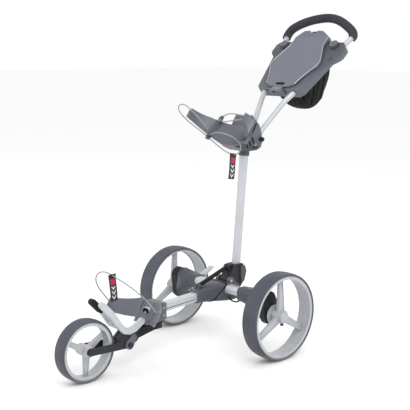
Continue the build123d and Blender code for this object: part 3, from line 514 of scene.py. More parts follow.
class FinishBook:
    """All finishes of the trolley, each made once when first asked for."""

    finishes: dict[str, Finish] = {
        "tyre": FoamFinish(
            "tyre_foam_skin", (0.050, 0.054, 0.072), (0.064, 0.069, 0.090), rough=0.62, grain=520.0,
            grain_depth=0.0005, wear=0.25, worn=(0.16, 0.17, 0.2), dust=0.35,
        ),
        "rim": Finish(
            "rim_moulding", (0.37, 0.385, 0.41), (0.42, 0.435, 0.46), rough=0.42, wear=0.2,
            worn=(0.6, 0.6, 0.6), coat=0.1, grain=1400.0, grain_depth=0.00008,
        ),
        "slate": Finish(
            "slate_moulding", (0.047, 0.051, 0.066), (0.060, 0.065, 0.082), rough=0.42, wear=0.35,
            worn=(0.22, 0.23, 0.27), grain=1500.0, grain_depth=0.00012,
        ),
        "lid": Finish(
            "lid_moulding", (0.092, 0.101, 0.135), (0.104, 0.114, 0.150), rough=0.30,
            rough_drift=0.05, coat=0.3, wear=0.15, worn=(0.2, 0.21, 0.25), mottle=7.0, grain=1600.0,
            grain_depth=0.00003,
        ),
        "black": Finish(
            "black_moulding", (0.007, 0.007, 0.009), (0.012, 0.012, 0.014), rough=0.5, shine=0.25,
            wear=0.25, worn=(0.08, 0.08, 0.09), grain=1300.0, grain_depth=0.00015,
        ),
        "paint": Finish(
            "silver_paint", (0.44, 0.465, 0.49), (0.48, 0.505, 0.53), rough=0.34, rough_drift=0.05,
            metal=0.15, coat=0.35, wear=0.1, worn=(0.75, 0.75, 0.78), grain=2600.0,
            grain_depth=0.00003,
        ),
        "steel": Finish(
            "pin_steel", (0.52, 0.52, 0.54), (0.44, 0.44, 0.46), rough=0.3, metal=1.0, wear=0.2,
            grain=1800.0, grain_depth=0.00004,
        ),
        "grip": FoamFinish(
            "grip_foam", (0.034, 0.037, 0.044), (0.045, 0.048, 0.056), rough=0.85, shine=0.2,
            grain=900.0, grain_depth=0.0006, wear=0.2, worn=(0.14, 0.14, 0.15),
        ),
        "rubber": Finish(
            "foot_rubber", (0.006, 0.006, 0.007), (0.011, 0.011, 0.012), rough=0.7, shine=0.2,
            grain=1100.0, grain_depth=0.0003, wear=0.2, worn=(0.05, 0.05, 0.05),
        ),
        "net": WovenFinish(
            "net_fabric", (0.005, 0.005, 0.006), (0.009, 0.009, 0.010), rough=0.9, shine=0.1,
            grain_depth=0.0006, threads=22.0, open_weave=0.05, wear=0.0,
        ),
        "cord": BraidFinish(
            "elastic_braid", (0.24, 0.245, 0.26), (0.33, 0.335, 0.35), rough=0.7,
            grain_depth=0.0004, threads=190.0, wear=0.0,
        ),
        "tag": TagFinish(
            "tag_webbing", (0.012, 0.012, 0.013), (0.022, 0.022, 0.024), rough=0.75,
            grain_depth=0.0004, threads=9.0, wear=0.0,
        ),
        # painted highlight: bright silver for the strips along the lid's grey edges
        "edge_highlight": Finish(
            "painted_edge_highlight", (0.34, 0.36, 0.40), (0.40, 0.42, 0.46), rough=0.3, metal=0.6, wear=0.1,
            grain=2200.0, grain_depth=0.00003,
        ),
        "recess": Finish(
            "recess_shadow_black", (0.003, 0.003, 0.004), (0.007, 0.007, 0.009), rough=0.7,
            shine=0.15, wear=0.05, grain=1200.0, grain_depth=0.0001,
        ),
        "binding": Finish(
            "bag_binding", (0.012, 0.012, 0.013), (0.02, 0.02, 0.022), rough=0.75, grain=1300.0,
            grain_depth=0.0004, wear=0.0,
        ),
    }

    def __init__(self) -> None:
        """Start with no material made."""
        self.made: dict[str, Material] = {}

    def __getitem__(self, key: str) -> Material:
        """The material of that finish, made when first asked for.

        Args:
            key: the finish's short name.

        Returns:
            The material.
        """
        if key not in self.made:
            self.made[key] = self.finishes[key].build()
        return self.made[key]


# ------------------------------------------------------------------ mesh tools
def grid_faces(rows: int, cols: int, wrap_rows: bool, wrap_cols: bool) -> np.ndarray:
    """Quads over a grid of points listed row by row.

    Args:
        rows: points down the grid.
        cols: points across it.
        wrap_rows: whether the last row joins the first.
        wrap_cols: whether the last column joins the first.

    Returns:
        An array of four point numbers for each quad.
    """
    i = np.arange(rows if wrap_rows else rows - 1)[:, None]
    j = np.arange(cols if wrap_cols else cols - 1)[None, :]
    i2, j2 = (i + 1) % rows, (j + 1) % cols
    corners = np.broadcast_arrays(i * cols + j, i * cols + j2, i2 * cols + j2, i2 * cols + j)
    return np.stack([c.ravel() for c in corners], axis=-1)


def surface(name: str, points: np.ndarray, wrap_rows: bool = False, wrap_cols: bool = False,
            caps: bool = False) -> Piece:
    """Mesh object over a grid of points, smooth and with a UV map called weave.

    Args:
        name: the piece's name.
        points: array of rows by columns by three, in metres.
        wrap_rows: whether the last row joins the first.
        wrap_cols: whether the last column joins the first.
        caps: whether the first and last rows are closed by faces.

    Returns:
        The linked object.
    """
    rows, cols = points.shape[:2]
    quads = grid_faces(rows, cols, wrap_rows, wrap_cols).tolist()
    if caps:
        quads.append(list(range(cols))[::-1])
        quads.append([(rows - 1) * cols + k for k in range(cols)])
    mesh = bpy.data.meshes.new(name)
    mesh.from_pydata(points.reshape(-1, 3).tolist(), [], quads)
    layer = mesh.uv_layers.new(name=WEAVE_MAP)
    u = np.repeat(np.linspace(0, 1, rows), cols)
    v = np.tile(np.linspace(0, 1, cols), rows)
    loops = np.empty(len(mesh.loops), dtype=np.int32)
    mesh.loops.foreach_get("vertex_index", loops)
    layer.data.foreach_set("uv", np.stack([v[loops], u[loops]], axis=-1).ravel())
    mesh.polygons.foreach_set("use_smooth", np.ones(len(mesh.polygons), dtype=bool))
    mesh.update()
    piece = bpy.data.objects.new(name, mesh)
    bpy.context.scene.collection.objects.link(piece)
    return piece


def close_up(piece: Piece) -> None:
    """Merge doubled points at poles and seams and turn every face outward.

    Args:
        piece: the piece, whose mesh is changed in place.
    """
    work = bmesh.new()
    work.from_mesh(piece.data)
    bmesh.ops.remove_doubles(work, verts=work.verts, dist=1e-6)
    bmesh.ops.recalc_face_normals(work, faces=work.faces)
    work.to_mesh(piece.data)
    work.free()


def tube_points(path: np.ndarray, radius: np.ndarray | float, sides: int = 12) -> np.ndarray:
    """Ring of points round each point of a path, carried along without twist.

    Args:
        path: points along the path, in metres.
        radius: one radius, or one for each point.
        sides: points in each ring.

    Returns:
        Array of path points by sides by three.
    """
    along = np.gradient(path, axis=0)
    along /= np.linalg.norm(along, axis=1, keepdims=True)
    side = np.cross(along[0], (0.0, 0.0, 1.0) if abs(along[0][2]) < 0.9 else (1.0, 0.0, 0.0))
    frames = []
    for direction in along:
        side = side - direction * float(np.dot(side, direction))
        side = side / np.linalg.norm(side)
        frames.append((side, np.cross(direction, side)))
    a = np.array([f[0] for f in frames])[:, None, :]
    b = np.array([f[1] for f in frames])[:, None, :]
    turn = np.linspace(0, 2 * math.pi, sides, endpoint=False)[None, :, None]
    size = np.broadcast_to(np.asarray(radius, dtype=float), (len(path),))[:, None, None]
    return path[:, None, :] + size * (np.cos(turn) * a + np.sin(turn) * b)


def wear(piece: Piece, material: Material, body: Body, slot: str) -> None:
    """Give a piece its material and its body.

    Args:
        piece: the piece.
        material: its finish.
        body: the body it rides on.
        slot: the record's material slot; not used.
    """
    piece.data.materials.clear()
    piece.data.materials.append(material)
    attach(piece, body.value)
    log.info("%s on %s", piece.name, body.value)


# ------------------------------------------------------------------ carried-over CAD pieces
@dataclass
class Carried:
    """Dresses the CAD pieces that keep their own shape.

    Attributes:
        finishes: the finish book.
        groups: CAD node names by the finish that they wear.
    """

    finishes: FinishBook
    groups: dict[str, tuple[str, ...]] = field(default_factory=lambda: {
        "tyre": ("rear_tyre_left", "rear_tyre_right", "front_tyre"),
        "rim": ("rear_rim_left", "rear_rim_right", "front_rim", "hub_cap_left", "hub_cap_right"),
        "slate": ("wheel_bracket_left", "wheel_bracket_right", "hub_front_shell", "link_seat",
                  "hub_rear_shell", "upper_bracket", "upper_saddle", "lower_bracket", "lower_arms",
                  "fork_ears", "console_shell", "fold_latch", "accessory_cap_left",
                  "accessory_cap_right"),
        "lid": ("console_lid",),
        "black": ("brake_housings", "hub_band", "mast_clamp", "link_bar", "front_leg", "front_fork",
                  "tilt_knob", "front_axle", "fork_pivot_pin", "release_tab_left",
                  "release_tab_right", "lid_latch"),
        "paint": ("mast_tube", "main_beam", "axle_tube", "handle_tube", "foot_bar", "brake_pedal"),
        "steel": ("rear_axles", "mast_pivot_pin", "handle_pivot_pin", "lid_hinge_pin",
                  "brake_pin_left", "brake_pin_right", "upper_screws", "lower_screws"),
        "grip": ("handle_grip",),
        "rubber": ("foot_cap", "brake_cable"),
    })

    def dress(self, nodes: dict[str, Piece]) -> None:
        """Put each group's finish on its nodes.

        Args:
            nodes: the frame's CAD objects by name.
        """
        for finish, names in self.groups.items():
            for name in names:
                piece = nodes[name]
                for slot in range(max(1, len(piece.data.materials))):
                    if piece.data.materials:
                        piece.data.materials[slot] = self.finishes[finish]
                    else:
                        piece.data.materials.append(self.finishes[finish])
                log.info("%s wears %s", name, finish)


# ------------------------------------------------------------------ cords and tags
@dataclass
class Cord:
    """One elastic cord on a smooth open curve.

    Attributes:
        node: the CAD node that it replaces.
        points: the curve's control points, in metres.
        body: the body it rides on.
        radius: half the cord's thickness, in metres.
    """

    node: str
    points: Sequence[Point]
    body: Body
    radius: float = 0.002

    def build(self, finishes: FinishBook) -> None:
        """Args:
            finishes: the finish book.
        """
        curve = bpy.data.curves.new(f"{self.node}_braid", "CURVE")
        curve.dimensions = "3D"
        spline = curve.splines.new("NURBS")
        spline.points.add(len(self.points) - 1)
        for control, place in zip(spline.points, self.points):
            control.co = (*place, 1.0)
        spline.order_u = 3
        spline.use_endpoint_u = True
        curve.resolution_u = 24
        cord = bpy.data.objects.new(f"{self.node}_braid", curve)
        bpy.context.scene.collection.objects.link(cord)
        length = self.measure(cord)
        curve.bevel_depth = self.radius
        curve.bevel_resolution = 5
        curve.use_fill_caps = True
        wear(cord, finishes["cord"], self.body, "cord_elastic")
        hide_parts(self.node)
        self.points[0]
        2 * self.radius

    def measure(self, cord: Piece) -> float:
        """Length of the curve before it has any thickness.

        Args:
            cord: the cord's curve object.

        Returns:
            The length in metres.
        """
        bare = bpy.data.meshes.new_from_object(cord)
        line = np.empty(len(bare.vertices) * 3)
        bare.vertices.foreach_get("co", line)
        bpy.data.meshes.remove(bare)
        return float(np.linalg.norm(np.diff(line.reshape(-1, 3), axis=0), axis=1).sum())


@dataclass
class Tag:
    """Webbing tag doubled over a cord.

    Attributes:
        node: the CAD node that it replaces.
        top: point where it hangs from the cord, in metres.
        lean: how far it swings forward as it hangs down, in degrees.
        body: the body it rides on.
        width: width in metres.
        drop: how far it hangs, in metres.
        thick: the webbing's thickness, in metres.
        loop: radius of the turn round the cord, in metres.
        gap: how far each half lies from the middle at its free end, in metres.
        pinch: drop over which the turn closes to that gap, in metres.
        curl: sideways curl as a share of the drop.
    """

    node: str
    top: Point
    lean: float
    body: Body
    width: float = 0.026
    drop: float = 0.084
    thick: float = 0.0009
    loop: float = 0.0028
    gap: float = 0.0009
    pinch: float = 0.008
    curl: float = 0.05

    def build(self, finishes: FinishBook) -> None:
        """Fold the webbing over its cord and let it hang.

        The strip runs down one side, round the cord on a half circle and down the other side, with
        a slow sideways curl that grows with the drop.

        Args:
            finishes: the finish book.
        """
        lean = math.radians(self.lean)
        down = np.array((0.0, -math.sin(lean), -math.cos(lean)))
        wide = np.array((0.0, math.cos(lean), -math.sin(lean)))
        out = np.array((1.0, 0.0, 0.0))
        drops = np.linspace(self.drop, 0.004, 30)
        closing = self.gap + (self.loop - self.gap) * np.exp(-drops / self.pinch)
        side_a = np.stack([closing, drops], axis=-1)
        angle = np.linspace(0, math.pi, 12)[1:-1]
        loop = self.loop * np.stack([np.cos(angle), -np.sin(angle)], axis=-1)
        side_b = side_a[::-1] * np.array((-1.0, 1.0))
        line = np.concatenate([side_a, loop, side_b])
        across = np.linspace(-0.5, 0.5, 15) * self.width
        curl = self.curl * np.sin(line[:, 1] / self.drop * 2.6) * line[:, 1]
        bow = 3.6 * (across[None, :] ** 2) * (np.clip(line[:, 1], 0, 1) / self.drop)[:, None]
        grid = (
            np.array(self.top)
            + (line[:, 0] + curl)[:, None, None] * out
            + bow[:, :, None] * out
            + line[:, 1][:, None, None] * down
            + across[None, :, None] * wide
        )
        tag = surface(f"{self.node}_webbing", grid)
        layer = tag.data.uv_layers[WEAVE_MAP]
        uv = np.empty(len(layer.data) * 2)
        layer.data.foreach_get("uv", uv)
        uv = uv.reshape(-1, 2)
        uv[:, 1] = np.abs(uv[:, 1] - 0.5) * 2
        layer.data.foreach_set("uv", uv.ravel())
        thick = tag.modifiers.new("webbing", "SOLIDIFY")
        thick.thickness = self.thick
        thick.offset = 0
        wear(tag, finishes["tag"], self.body, "tag_fabric")
        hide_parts(self.node)


@dataclass
class CordSet:
    """The elastic cords of both cradles and the tags on them.

    Attributes:
        finishes: the finish book.
        strand_high: upper strand over the upper saddle, in the bag's own millimetres.
        strand_low: the strand below it.
        loop: the loop in front of the upper saddle.
        tag_run: the cord that carries the upper tag.
        low_run: the lower cradle's cord, from one arm to the other.
    """

    finishes: FinishBook
    strand_high: tuple[Point, ...] = (
        (-68, 113, 664), (-22, 76, 652), (52, 38, 642), (130, 26, 628),
    )
    strand_low: tuple[Point, ...] = (
        (-68, 113, 652), (-20, 86, 630), (52, 48, 618), (130, 26, 616),
    )
    loop: tuple[Point, ...] = (
        (-88, 113, 592), (-78, 62, 604), (-112, 20, 624), (-150, -2, 642), (-160, -14, 622),
        (-146, 2, 602), (-118, 40, 588), (-84, 70, 578), (-90, 113, 580),
    )
    tag_run: tuple[Point, ...] = (
        (-86, 113, 586), (-34, 74, 586), (34, 88, 586), (74, 108, 572), (84, 116, 552),
        (58, 138, 540), (20, 133, 538), (-24, 116, 552), (-60, 104, 568), (-84, 113, 578),
    )
    low_run: tuple[Point, ...] = (
        (115, 70, -66), (98, 36, -48), (70, 12, -36), (34, -14, -26), (-12, -32, -18),
        (-48, -50, -12), (-70, -60, -20), (-90, -50, -38), (-100, -22, -56), (-106, 20, -68),
        (-114, 69, -78),
    )

    def build(self) -> None:
        """Lay all cords and hang both tags."""
        for node, run, body in (
            ("upper_cord_high", self.strand_high, Body.MAST),
            ("upper_cord_low", self.strand_low, Body.MAST),
            ("upper_cord_loop", self.loop, Body.MAST),
            ("upper_tag_cord", self.tag_run, Body.MAST),
            ("lower_cord", self.low_run, Body.CHASSIS),
        ):
            Cord(node, [bag_at(*p) for p in run], body).build(self.finishes)
        Tag("upper_tag", bag_at(39, 135.5, 539), 8.0, Body.MAST).build(self.finishes)
        Tag("lower_tag", bag_at(-30, -41, -15), -4.0, Body.CHASSIS).build(self.finishes)


# ------------------------------------------------------------------ net pouch
@dataclass
class Pouch:
    """Net pouch that hangs under the console.

    Attributes:
        low: its low end along the tubes, in millimetres.
        high: its high end.
        depth: how far it hangs out of the tubes' plane at its deepest.
        half: half its width at the mouth.
        rim: how far below the tubes' plane its mouth lies.
        skew: under 1 to be deepest towards the low end.
        fill, flare, section: powers that square its depth, its width and its section.
        waist: share of the width that is left at both ends.
        sag: furthest that hanging moves a point, in metres.
        frames: length of the hanging in frames.
        binding: radius of the bound edge, in metres.
        flat_width: a width in metres that the net's area is divided by; the result is not used.
    """

    finishes: FinishBook
    low: float = 4.0
    high: float = 250.0
    depth: float = 141.0
    half: float = 66.0
    rim: float = 20.6
    rows: int = 56
    cols: int = 60
    skew: float = 0.88
    fill: float = 0.36
    flare: float = 0.6
    waist: float = 0.72
    section: Span = (0.62, 0.72)
    sag: float = 0.014
    frames: int = 15
    binding: float = 0.0022
    flat_width: float = 0.25

    def shape(self) -> np.ndarray:
        """Rest shape of the pouch.

        Along the tubes its depth follows a skewed sine that fills quickly at the low end; across,
        each section is a rounded trough that narrows towards both ends.

        Returns:
            Array of rows by columns by three, in metres.
        """
        t = np.linspace(0, 1, self.rows)[:, None]
        a = np.linspace(0, math.pi, self.cols)[None, :]
        full = np.sin(math.pi * t ** self.skew) ** self.fill
        width = self.half * (self.waist + (1 - self.waist) * np.sin(math.pi * t) ** self.flare)
        x = width * np.sign(np.cos(a)) * np.abs(np.cos(a)) ** self.section[0]
        n = -self.rim - self.depth * full * np.abs(np.sin(a)) ** self.section[1]
        s = self.low + (self.high - self.low) * t + 0 * a
        c, k = math.cos(CONSOLE_SLOPE), math.sin(CONSOLE_SLOPE)
        y = CONSOLE_FOOT[0] + s * c - n * k + AXLE_Y
        z = CONSOLE_FOOT[1] + s * k + n * c
        return np.stack([x + 0 * n, y, z], axis=-1) / 1000

    def settle(self, piece: Piece) -> None:
        """Hang the cloth with its edge points held, and hold each point's move to the sag.

        Args:
            piece: the pouch's cloth.
        """
        count = self.rows * self.cols
        held = piece.vertex_groups.new(name="mouth")
        numbers = np.arange(count).reshape(self.rows, self.cols)
        edge = np.concatenate([numbers[:, 0], numbers[:, -1], numbers[0], numbers[-1]])
        held.add([int(k) for k in np.unique(edge)], 1.0, "REPLACE")
        cloth = piece.modifiers.new("hang", "CLOTH")
        cloth.settings.quality = 6
        cloth.settings.mass = 0.25
        cloth.settings.tension_stiffness = 30
        cloth.settings.compression_stiffness = 12
        cloth.settings.bending_stiffness = 0.4
        cloth.settings.vertex_group_mass = "mouth"
        cloth.collision_settings.use_collision = False
        scene = bpy.context.scene
        for step in range(1, self.frames + 1):
            scene.frame_set(step)
        hung = piece.evaluated_get(bpy.context.evaluated_depsgraph_get())
        settled = bpy.data.meshes.new_from_object(hung)
        rest = np.empty(count * 3)
        piece.data.vertices.foreach_get("co", rest)
        moved = np.empty(count * 3)
        settled.vertices.foreach_get("co", moved)
        bpy.data.meshes.remove(settled)
        piece.modifiers.remove(cloth)
        shift = (moved - rest).reshape(-1, 3)
        far = np.linalg.norm(shift, axis=1, keepdims=True)
        shift *= np.minimum(1.0, self.sag / np.maximum(far, 1e-9))
        log.info("pouch moved %.2f mm on average, %.2f mm at most, before its limit",
                 far.mean() * 1000, far.max() * 1000)
        piece.data.vertices.foreach_set("co", (rest.reshape(-1, 3) + shift).ravel())
        piece.data.update()
        scene.frame_set(1)

    def build(self) -> None:
        """Make the net, hang it and bind its mouth."""
        points = self.shape()
        pouch = surface("pouch_net", points)
        self.settle(pouch)
        smooth = pouch.modifiers.new("smooth", "SUBSURF")
        smooth.levels = smooth.render_levels = 1
        wear(pouch, self.finishes["net"], Body.HANDLE, "mesh_fabric")
        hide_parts("net_bag")
        near, far, down, up = points[:-1, :-1], points[1:, 1:], points[1:, :-1], points[:-1, 1:]
        halves = (np.cross(down - near, up - near), np.cross(down - far, up - far))
        area = sum(float(np.linalg.norm(half, axis=-1).sum()) for half in halves) / 2
        area / self.flat_width
        ring = np.concatenate(
            [points[:, 0], points[-1, 1:-1], points[::-1, -1], points[0, -2:0:-1]])[::2]
        bind = tube_points(np.concatenate([ring, ring[:1]]), self.binding, 8)[:-1]
        binding = surface("pouch_binding", bind, wrap_rows=True, wrap_cols=True)
        close_up(binding)
        wear(binding, self.finishes["binding"], Body.HANDLE, "mesh_fabric")


# ------------------------------------------------------------------ console details
@dataclass
class LidEdgeHighlight:
    """Bright strips of painted highlight along the lid's sides, where the lid itself is grey.

    Attributes:
        finishes: the finish book.
        side: corners of the lid's left side: across, along the tubes and out of their plane.
        radius: half a strip's thickness, in metres.
        rounds: how often the corners are smoothed.
    """

    finishes: FinishBook
    side: tuple[Point, ...] = (
        (67, 4, 18.6), (71.5, 24, 19.2), (88, 60, 20), (108.5, 95, 20.8), (111, 117, 21.2),
        (97, 151, 21.9), (76.5, 197, 23.8), (75.5, 236, 25.8),
    )
    radius: float = 0.0021
    rounds: int = 6

    def strip(self, name: str, sign: int) -> None:
        """Lay one strip of painted highlight.

        Args:
            name: which side.
            sign: +1 for the left, -1 for the right.
        """
        corners = np.array([console_at(sign * x, s, n + 0.4) for x, s, n in self.side])
        runs = [np.linspace(a, b, 9)[:-1] for a, b in zip(corners[:-1], corners[1:])]
        dense = np.concatenate([*runs, corners[-1:]])
        for _ in range(self.rounds):
            dense[1:-1] = (dense[:-2] + 2 * dense[1:-1] + dense[2:]) / 4
        rings = tube_points(dense, self.radius, 10)
        piece = surface(f"lid_highlight_strip_{name}", rings, wrap_cols=True, caps=True)
        close_up(piece)
        # bright silver painted highlight on the lid's grey edge
        wear(piece, self.finishes["edge_highlight"], Body.LID, "lid_grey")

    def build(self) -> None:
        """Lay both strips of painted highlight."""
        for name, sign in (("left", 1), ("right", -1)):
            self.strip(name, sign)


# ------------------------------------------------------------------ small moulded details
@dataclass
class Pad:
    """Low rounded pad, plug or screw head on a face.

    Attributes:
        name: the piece's name.
        centre: its middle on the face, in metres.
        long: direction of its first half-width.
        wide: direction of its second half-width.
        size: both half-widths and its half-height, in metres.
        square: 2 for an ellipse, more for squarer corners.
        edge: how sharply its side turns into its top, smaller for sharper.
        top: how flat its top is, smaller for flatter.
    """

    name: str
    centre: Point
    long: Point
    wide: Point
    size: tuple[float, float, float]
    square: float = 4.0
    edge: float = 0.45
    top: float = 0.7

    def build(self) -> Piece:
        """Work out the pad.

        A closed superellipsoid: each ring is a superellipse whose size follows the sine of the
        angle from the pole, and its height follows the cosine, both raised to flatten the top.

        Returns:
            The pad's object.
        """
        long, wide = (np.array(d) / np.linalg.norm(d) for d in (self.long, self.wide))
        out = np.cross(long, wide)
        t = np.linspace(0, math.pi, 17)[:, None]
        a = np.linspace(0, 2 * math.pi, 40, endpoint=False)[None, :]
        ring = np.abs(np.sin(t)) ** self.edge
        rise = np.sign(np.cos(t)) * np.abs(np.cos(t)) ** self.top
        e = 2 / self.square
        u = ring * np.sign(np.cos(a)) * np.abs(np.cos(a)) ** e * self.size[0]
        v = ring * np.sign(np.sin(a)) * np.abs(np.sin(a)) ** e * self.size[1]
        h = rise * self.size[2] + 0 * a
        offset = u[..., None] * long + v[..., None] * wide + h[..., None] * out
        piece = surface(self.name, np.array(self.centre) + offset, wrap_cols=True)
        close_up(piece)
        return piece


@dataclass
class UpperBracketDetail:
    """Dark slots on the upper bracket's cheeks, the knob's cap and the saddle's wire hook.

    Attributes:
        finishes: the finish book.
        cheek: how far out each cheek's face lies.
        slots: each slot's middle (y, z), half-width, half-length and turn in degrees.
        slot_rise: half a slot's height off the face, in metres.
        hook: corners of the hook, in the bag's own millimetres.
        wire: the hook's radius, in metres.
        knob_end: middle of the knob's end face.
        knob_size: the cap's half-widths and half-height, in metres.
    """

    finishes: FinishBook
    cheek: float = 38.0
    slots: tuple[tuple[float, float, float, float, float], ...] = (
        (94.0, 700.0, 4.0, 13.0, 24.0), (80.0, 690.0, 3.0, 10.0, 24.0),
        (66.0, 682.0, 2.6, 8.0, 24.0), (100.0, 742.0, 3.4, 20.0, -32.0),
        (104.0, 676.0, 14.0, 2.6, 6.0),
    )
    slot_rise: float = 0.0007
    hook: tuple[Point, ...] = ((-92, 117, 640), (-72, 112, 676), (-48, 104, 638))
    wire: float = 0.0023
    knob_end: Point = (50.8, 130.0, 702.0)
    knob_size: Point = (0.0072, 0.0072, 0.0018)

    def cheek_slots(self) -> None:
        """Put the slots on both cheeks."""
        for side, sign in (("left", 1), ("right", -1)):
            for number, (y, z, across, along, turn) in enumerate(self.slots):
                angle = math.radians(turn)
                long = (0.0, math.cos(angle), math.sin(angle))
                wide = (0.0, -math.sin(angle), math.cos(angle))
                slot = Pad(f"cheek_slot_{side}_{number}", at(sign * self.cheek, y, z), long, wide,
                           (across / 1000, along / 1000, self.slot_rise), 3.2).build()
                wear(slot, self.finishes["recess"], Body.MAST, "black_plastic")

    def wire_hook(self) -> None:
        """Bend the hook from wire: a triangle whose corners are cut until they are round."""
        corners = np.array([bag_at(*p) for p in self.hook])
        for _ in range(4):
            following = np.roll(corners, -1, axis=0)
            cut = [0.75 * corners + 0.25 * following, 0.25 * corners + 0.75 * following]
            corners = np.stack(cut, axis=1).reshape(-1, 3)
        rings = tube_points(np.concatenate([corners, corners[:1]]), self.wire, 12)[:-1]
        hook = surface("saddle_hook", rings, wrap_rows=True, wrap_cols=True)
        close_up(hook)
        wear(hook, self.finishes["slate"], Body.MAST, "slate_plastic")

    def knob_cap(self) -> None:
        """Cap the tilt knob's end."""
        cap = Pad("knob_cap", at(*self.knob_end), (0.0, 1.0, 0.0), (0.0, 0.0, 1.0),
                  self.knob_size, 2.0).build()
        wear(cap, self.finishes["black"], Body.KNOB, "black_plastic")

    def build(self) -> None:
        """Add the slots, the hook and the knob's cap."""
        self.knob_cap()
        self.cheek_slots()
        self.wire_hook()


@dataclass
class ChassisDetail:
    """Painted shade of the grooves along the beam, the plug in its front end and ribs of the mast
    clamp.

    Attributes:
        finishes: the finish book.
        beam_face: how far out the beam's side lies.
        beam_run: both ends (y, z) of the groove's line.
        groove: half the width and height of a groove's painted shade, in metres.
        beam_end: middle of the beam's front end.
        plugs: name, half-width, half-height, corners, finish and slot of the plug and its screw.
        clamp_face: how far out the clamp's right face lies.
        ribs: middle (y, z) of each rib.
        rib_size: a rib's half-widths and half-height, in metres.
    """

    finishes: FinishBook
    beam_face: float = 15.0
    beam_run: tuple[tuple[float, float], tuple[float, float]] = ((-292.0, 173.5), (-148.0, 181.0))
    groove: Span = (0.0011, 0.0004)
    beam_end: Point = (0.0, -352.6, 171.0)
    plugs: tuple[tuple[str, float, float, float, str, str], ...] = (
        ("beam_plug", 0.0138, 0.0022, 4.0, "recess", "black_plastic"),
        ("beam_plug_screw", 0.0042, 0.0034, 2.0, "steel", "steel"),
    )
    clamp_face: float = 21.0
    ribs: tuple[Span, ...] = ((26.0, 236.0), (38.0, 232.0), (50.0, 228.0))
    rib_size: Point = (0.016, 0.0022, 0.0016)

    def beam_grooves(self) -> None:
        """Lay a dark strip of painted shade along each side of the beam, where its groove runs."""
        (y0, z0), (y1, z1) = self.beam_run
        half = math.hypot(y1 - y0, z1 - z0) / 2000
        for side, sign in (("left", 1), ("right", -1)):
            middle = at(sign * self.beam_face, (y0 + y1) / 2, (z0 + z1) / 2 - 3)
            groove = Pad(f"beam_groove_shade_{side}", middle, (0.0, y1 - y0, z1 - z0),
                         (0.0, z0 - z1, y1 - y0), (half, *self.groove), 6.0).build()
            # near-black painted shade of the groove, on the beam's light paint
            wear(groove, self.finishes["recess"], Body.CHASSIS, "light_paint")

    def clamp_ribs(self) -> None:
        """Raise slanting ribs on the clamp's right face."""
        for number, (y, z) in enumerate(self.ribs):
            rib = Pad(f"clamp_rib_{number}", at(-self.clamp_face, y, z), (0.0, 0.45, 0.9),
                      (0.0, -0.9, 0.45), self.rib_size, 4.0).build()
            wear(rib, self.finishes["black"], Body.MAST, "black_plastic")

    def beam_plug(self) -> None:
        """Close the beam's front end with a screwed plug."""
        (y0, z0), (y1, z1) = self.beam_run
        rise = (0.0, z0 - z1, y1 - y0)
        for name, half, high, square, finish, slot in self.plugs:
            plug = Pad(name, at(*self.beam_end), (1.0, 0.0, 0.0), rise, (half, half, high),
                       square).build()
            wear(plug, self.finishes[finish], Body.CHASSIS, slot)

    def build(self) -> None:
        """Add all of them."""
        self.beam_grooves()
        self.beam_plug()
        self.clamp_ribs()


@dataclass
class LidEndShade:
    """Painted shade at the lid's low end: a near-black patch on the lid's grey."""

    finishes: FinishBook

    def build(self) -> None:
        """Lay the patch of painted shade on the lid's slope."""
        slope = CONSOLE_SLOPE + math.atan2(2.0, 90.0)
        shade_patch = Pad("lid_end_painted_shade", console_at(0.0, 4.0, 18.9), (1.0, 0.0, 0.0),
                    (0.0, math.cos(slope), math.sin(slope)), (0.020, 0.0052, 0.0009), 6.0).build()
        # near-black painted shade laid on the lid's grey
        wear(shade_patch, self.finishes["recess"], Body.LID, "lid_grey")


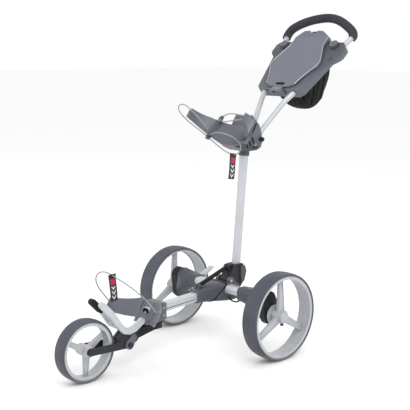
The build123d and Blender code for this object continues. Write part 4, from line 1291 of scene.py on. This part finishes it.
# ------------------------------------------------------------------ camera, lights and floor
@dataclass(frozen=True)
class Studio:
    """Camera, soft lights and pale floor.

    Attributes:
        azimuth: the camera's turn about the vertical, in degrees.
        elevation: how far it looks down, in degrees.
        roll: its tilt about its own line of sight, in degrees.
        lens: its focal length in millimetres.
        eye: where it stands, in metres.
        lamps: name, place in metres, width in metres and watts of each soft light.
        reach: how far the floor runs each way, in metres.
    """

    azimuth: float = 46.7011
    elevation: float = 10.0479
    roll: float = 0.4131
    lens: float = 78.67
    eye: Point = (2.1552, -2.0392, 1.0167)
    lamps: tuple[tuple[str, Point, float, float], ...] = (
        ("key_light", (2.4, -1.2, 3.0), 2.0, 52),
        ("fill_light", (-1.8, -2.6, 1.8), 2.4, 14),
        ("rim_light", (-0.8, 3.0, 2.4), 2.2, 24),
    )
    reach: float = 30.0

    def camera(self) -> None:
        """Place the camera."""
        az, el, roll = (math.radians(a) for a in (self.azimuth, self.elevation, self.roll))
        back = Vector((math.sin(az) * math.cos(el), -math.cos(az) * math.cos(el), math.sin(el)))
        right = Vector((math.cos(az), math.sin(az), 0.0))
        up = back.cross(right)
        turned = right * math.cos(roll) + up * math.sin(roll)
        upright = up * math.cos(roll) - right * math.sin(roll)
        lens = bpy.data.cameras.new("studio_camera")
        lens.lens = self.lens
        lens.sensor_width = 36.0
        eye = bpy.data.objects.new("studio_camera", lens)
        eye.matrix_world = Matrix((
            (turned.x, upright.x, back.x, self.eye[0]),
            (turned.y, upright.y, back.y, self.eye[1]),
            (turned.z, upright.z, back.z, self.eye[2]),
            (0, 0, 0, 1),
        ))
        bpy.context.scene.collection.objects.link(eye)
        bpy.context.scene.camera = eye

    def light(self, name: str, place: Point, size: float, power: float) -> None:
        """Add one soft light aimed at the trolley's middle.

        Args:
            name: the light's name.
            place: where it stands, in metres.
            size: its width in metres.
            power: its power in watts.
        """
        lamp = bpy.data.lights.new(name, "AREA")
        lamp.size = size
        lamp.energy = power
        stand = bpy.data.objects.new(name, lamp)
        stand.location = place
        aim = Vector((0.0, 0.0, 0.5)) - Vector(place)
        stand.rotation_euler = aim.to_track_quat("-Z", "Y").to_euler()
        bpy.context.scene.collection.objects.link(stand)

    def build(self) -> None:
        """Set the camera, the lights, the sky and the floor."""
        self.camera()
        for lamp in self.lamps:
            self.light(*lamp)
        world = bpy.data.worlds.new("studio_sky")
        world.use_nodes = True
        world.node_tree.nodes["Background"].inputs[0].default_value = (1, 1, 1, 1)
        world.node_tree.nodes["Background"].inputs[1].default_value = 1.0
        bpy.context.scene.world = world
        bpy.context.scene.view_settings.view_transform = "Standard"
        steps = np.linspace(-self.reach, self.reach, 3)
        gx, gy = np.meshgrid(steps, steps, indexing="ij")
        floor = surface("studio_floor", np.stack([gx, gy, 0 * gx - 0.0005], axis=-1))
        paper = Finish("floor_paper", (0.95,) * 3, (0.96,) * 3, rough=0.9, wear=0.0)
        floor.data.materials.append(paper.build())


def main() -> None:
    """Load the frame, dress it and set the studio."""
    logging.basicConfig(level=logging.INFO, format="%(name)s: %(message)s")
    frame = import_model()
    finishes = FinishBook()
    Studio().build()
    CordSet(finishes).build()
    Carried(finishes).dress(frame["nodes"])
    Pouch(finishes).build()
    LidEdgeHighlight(finishes).build()
    LidEndShade(finishes).build()
    UpperBracketDetail(finishes).build()
    ChassisDetail(finishes).build()


if __name__ == "__main__":
    main()
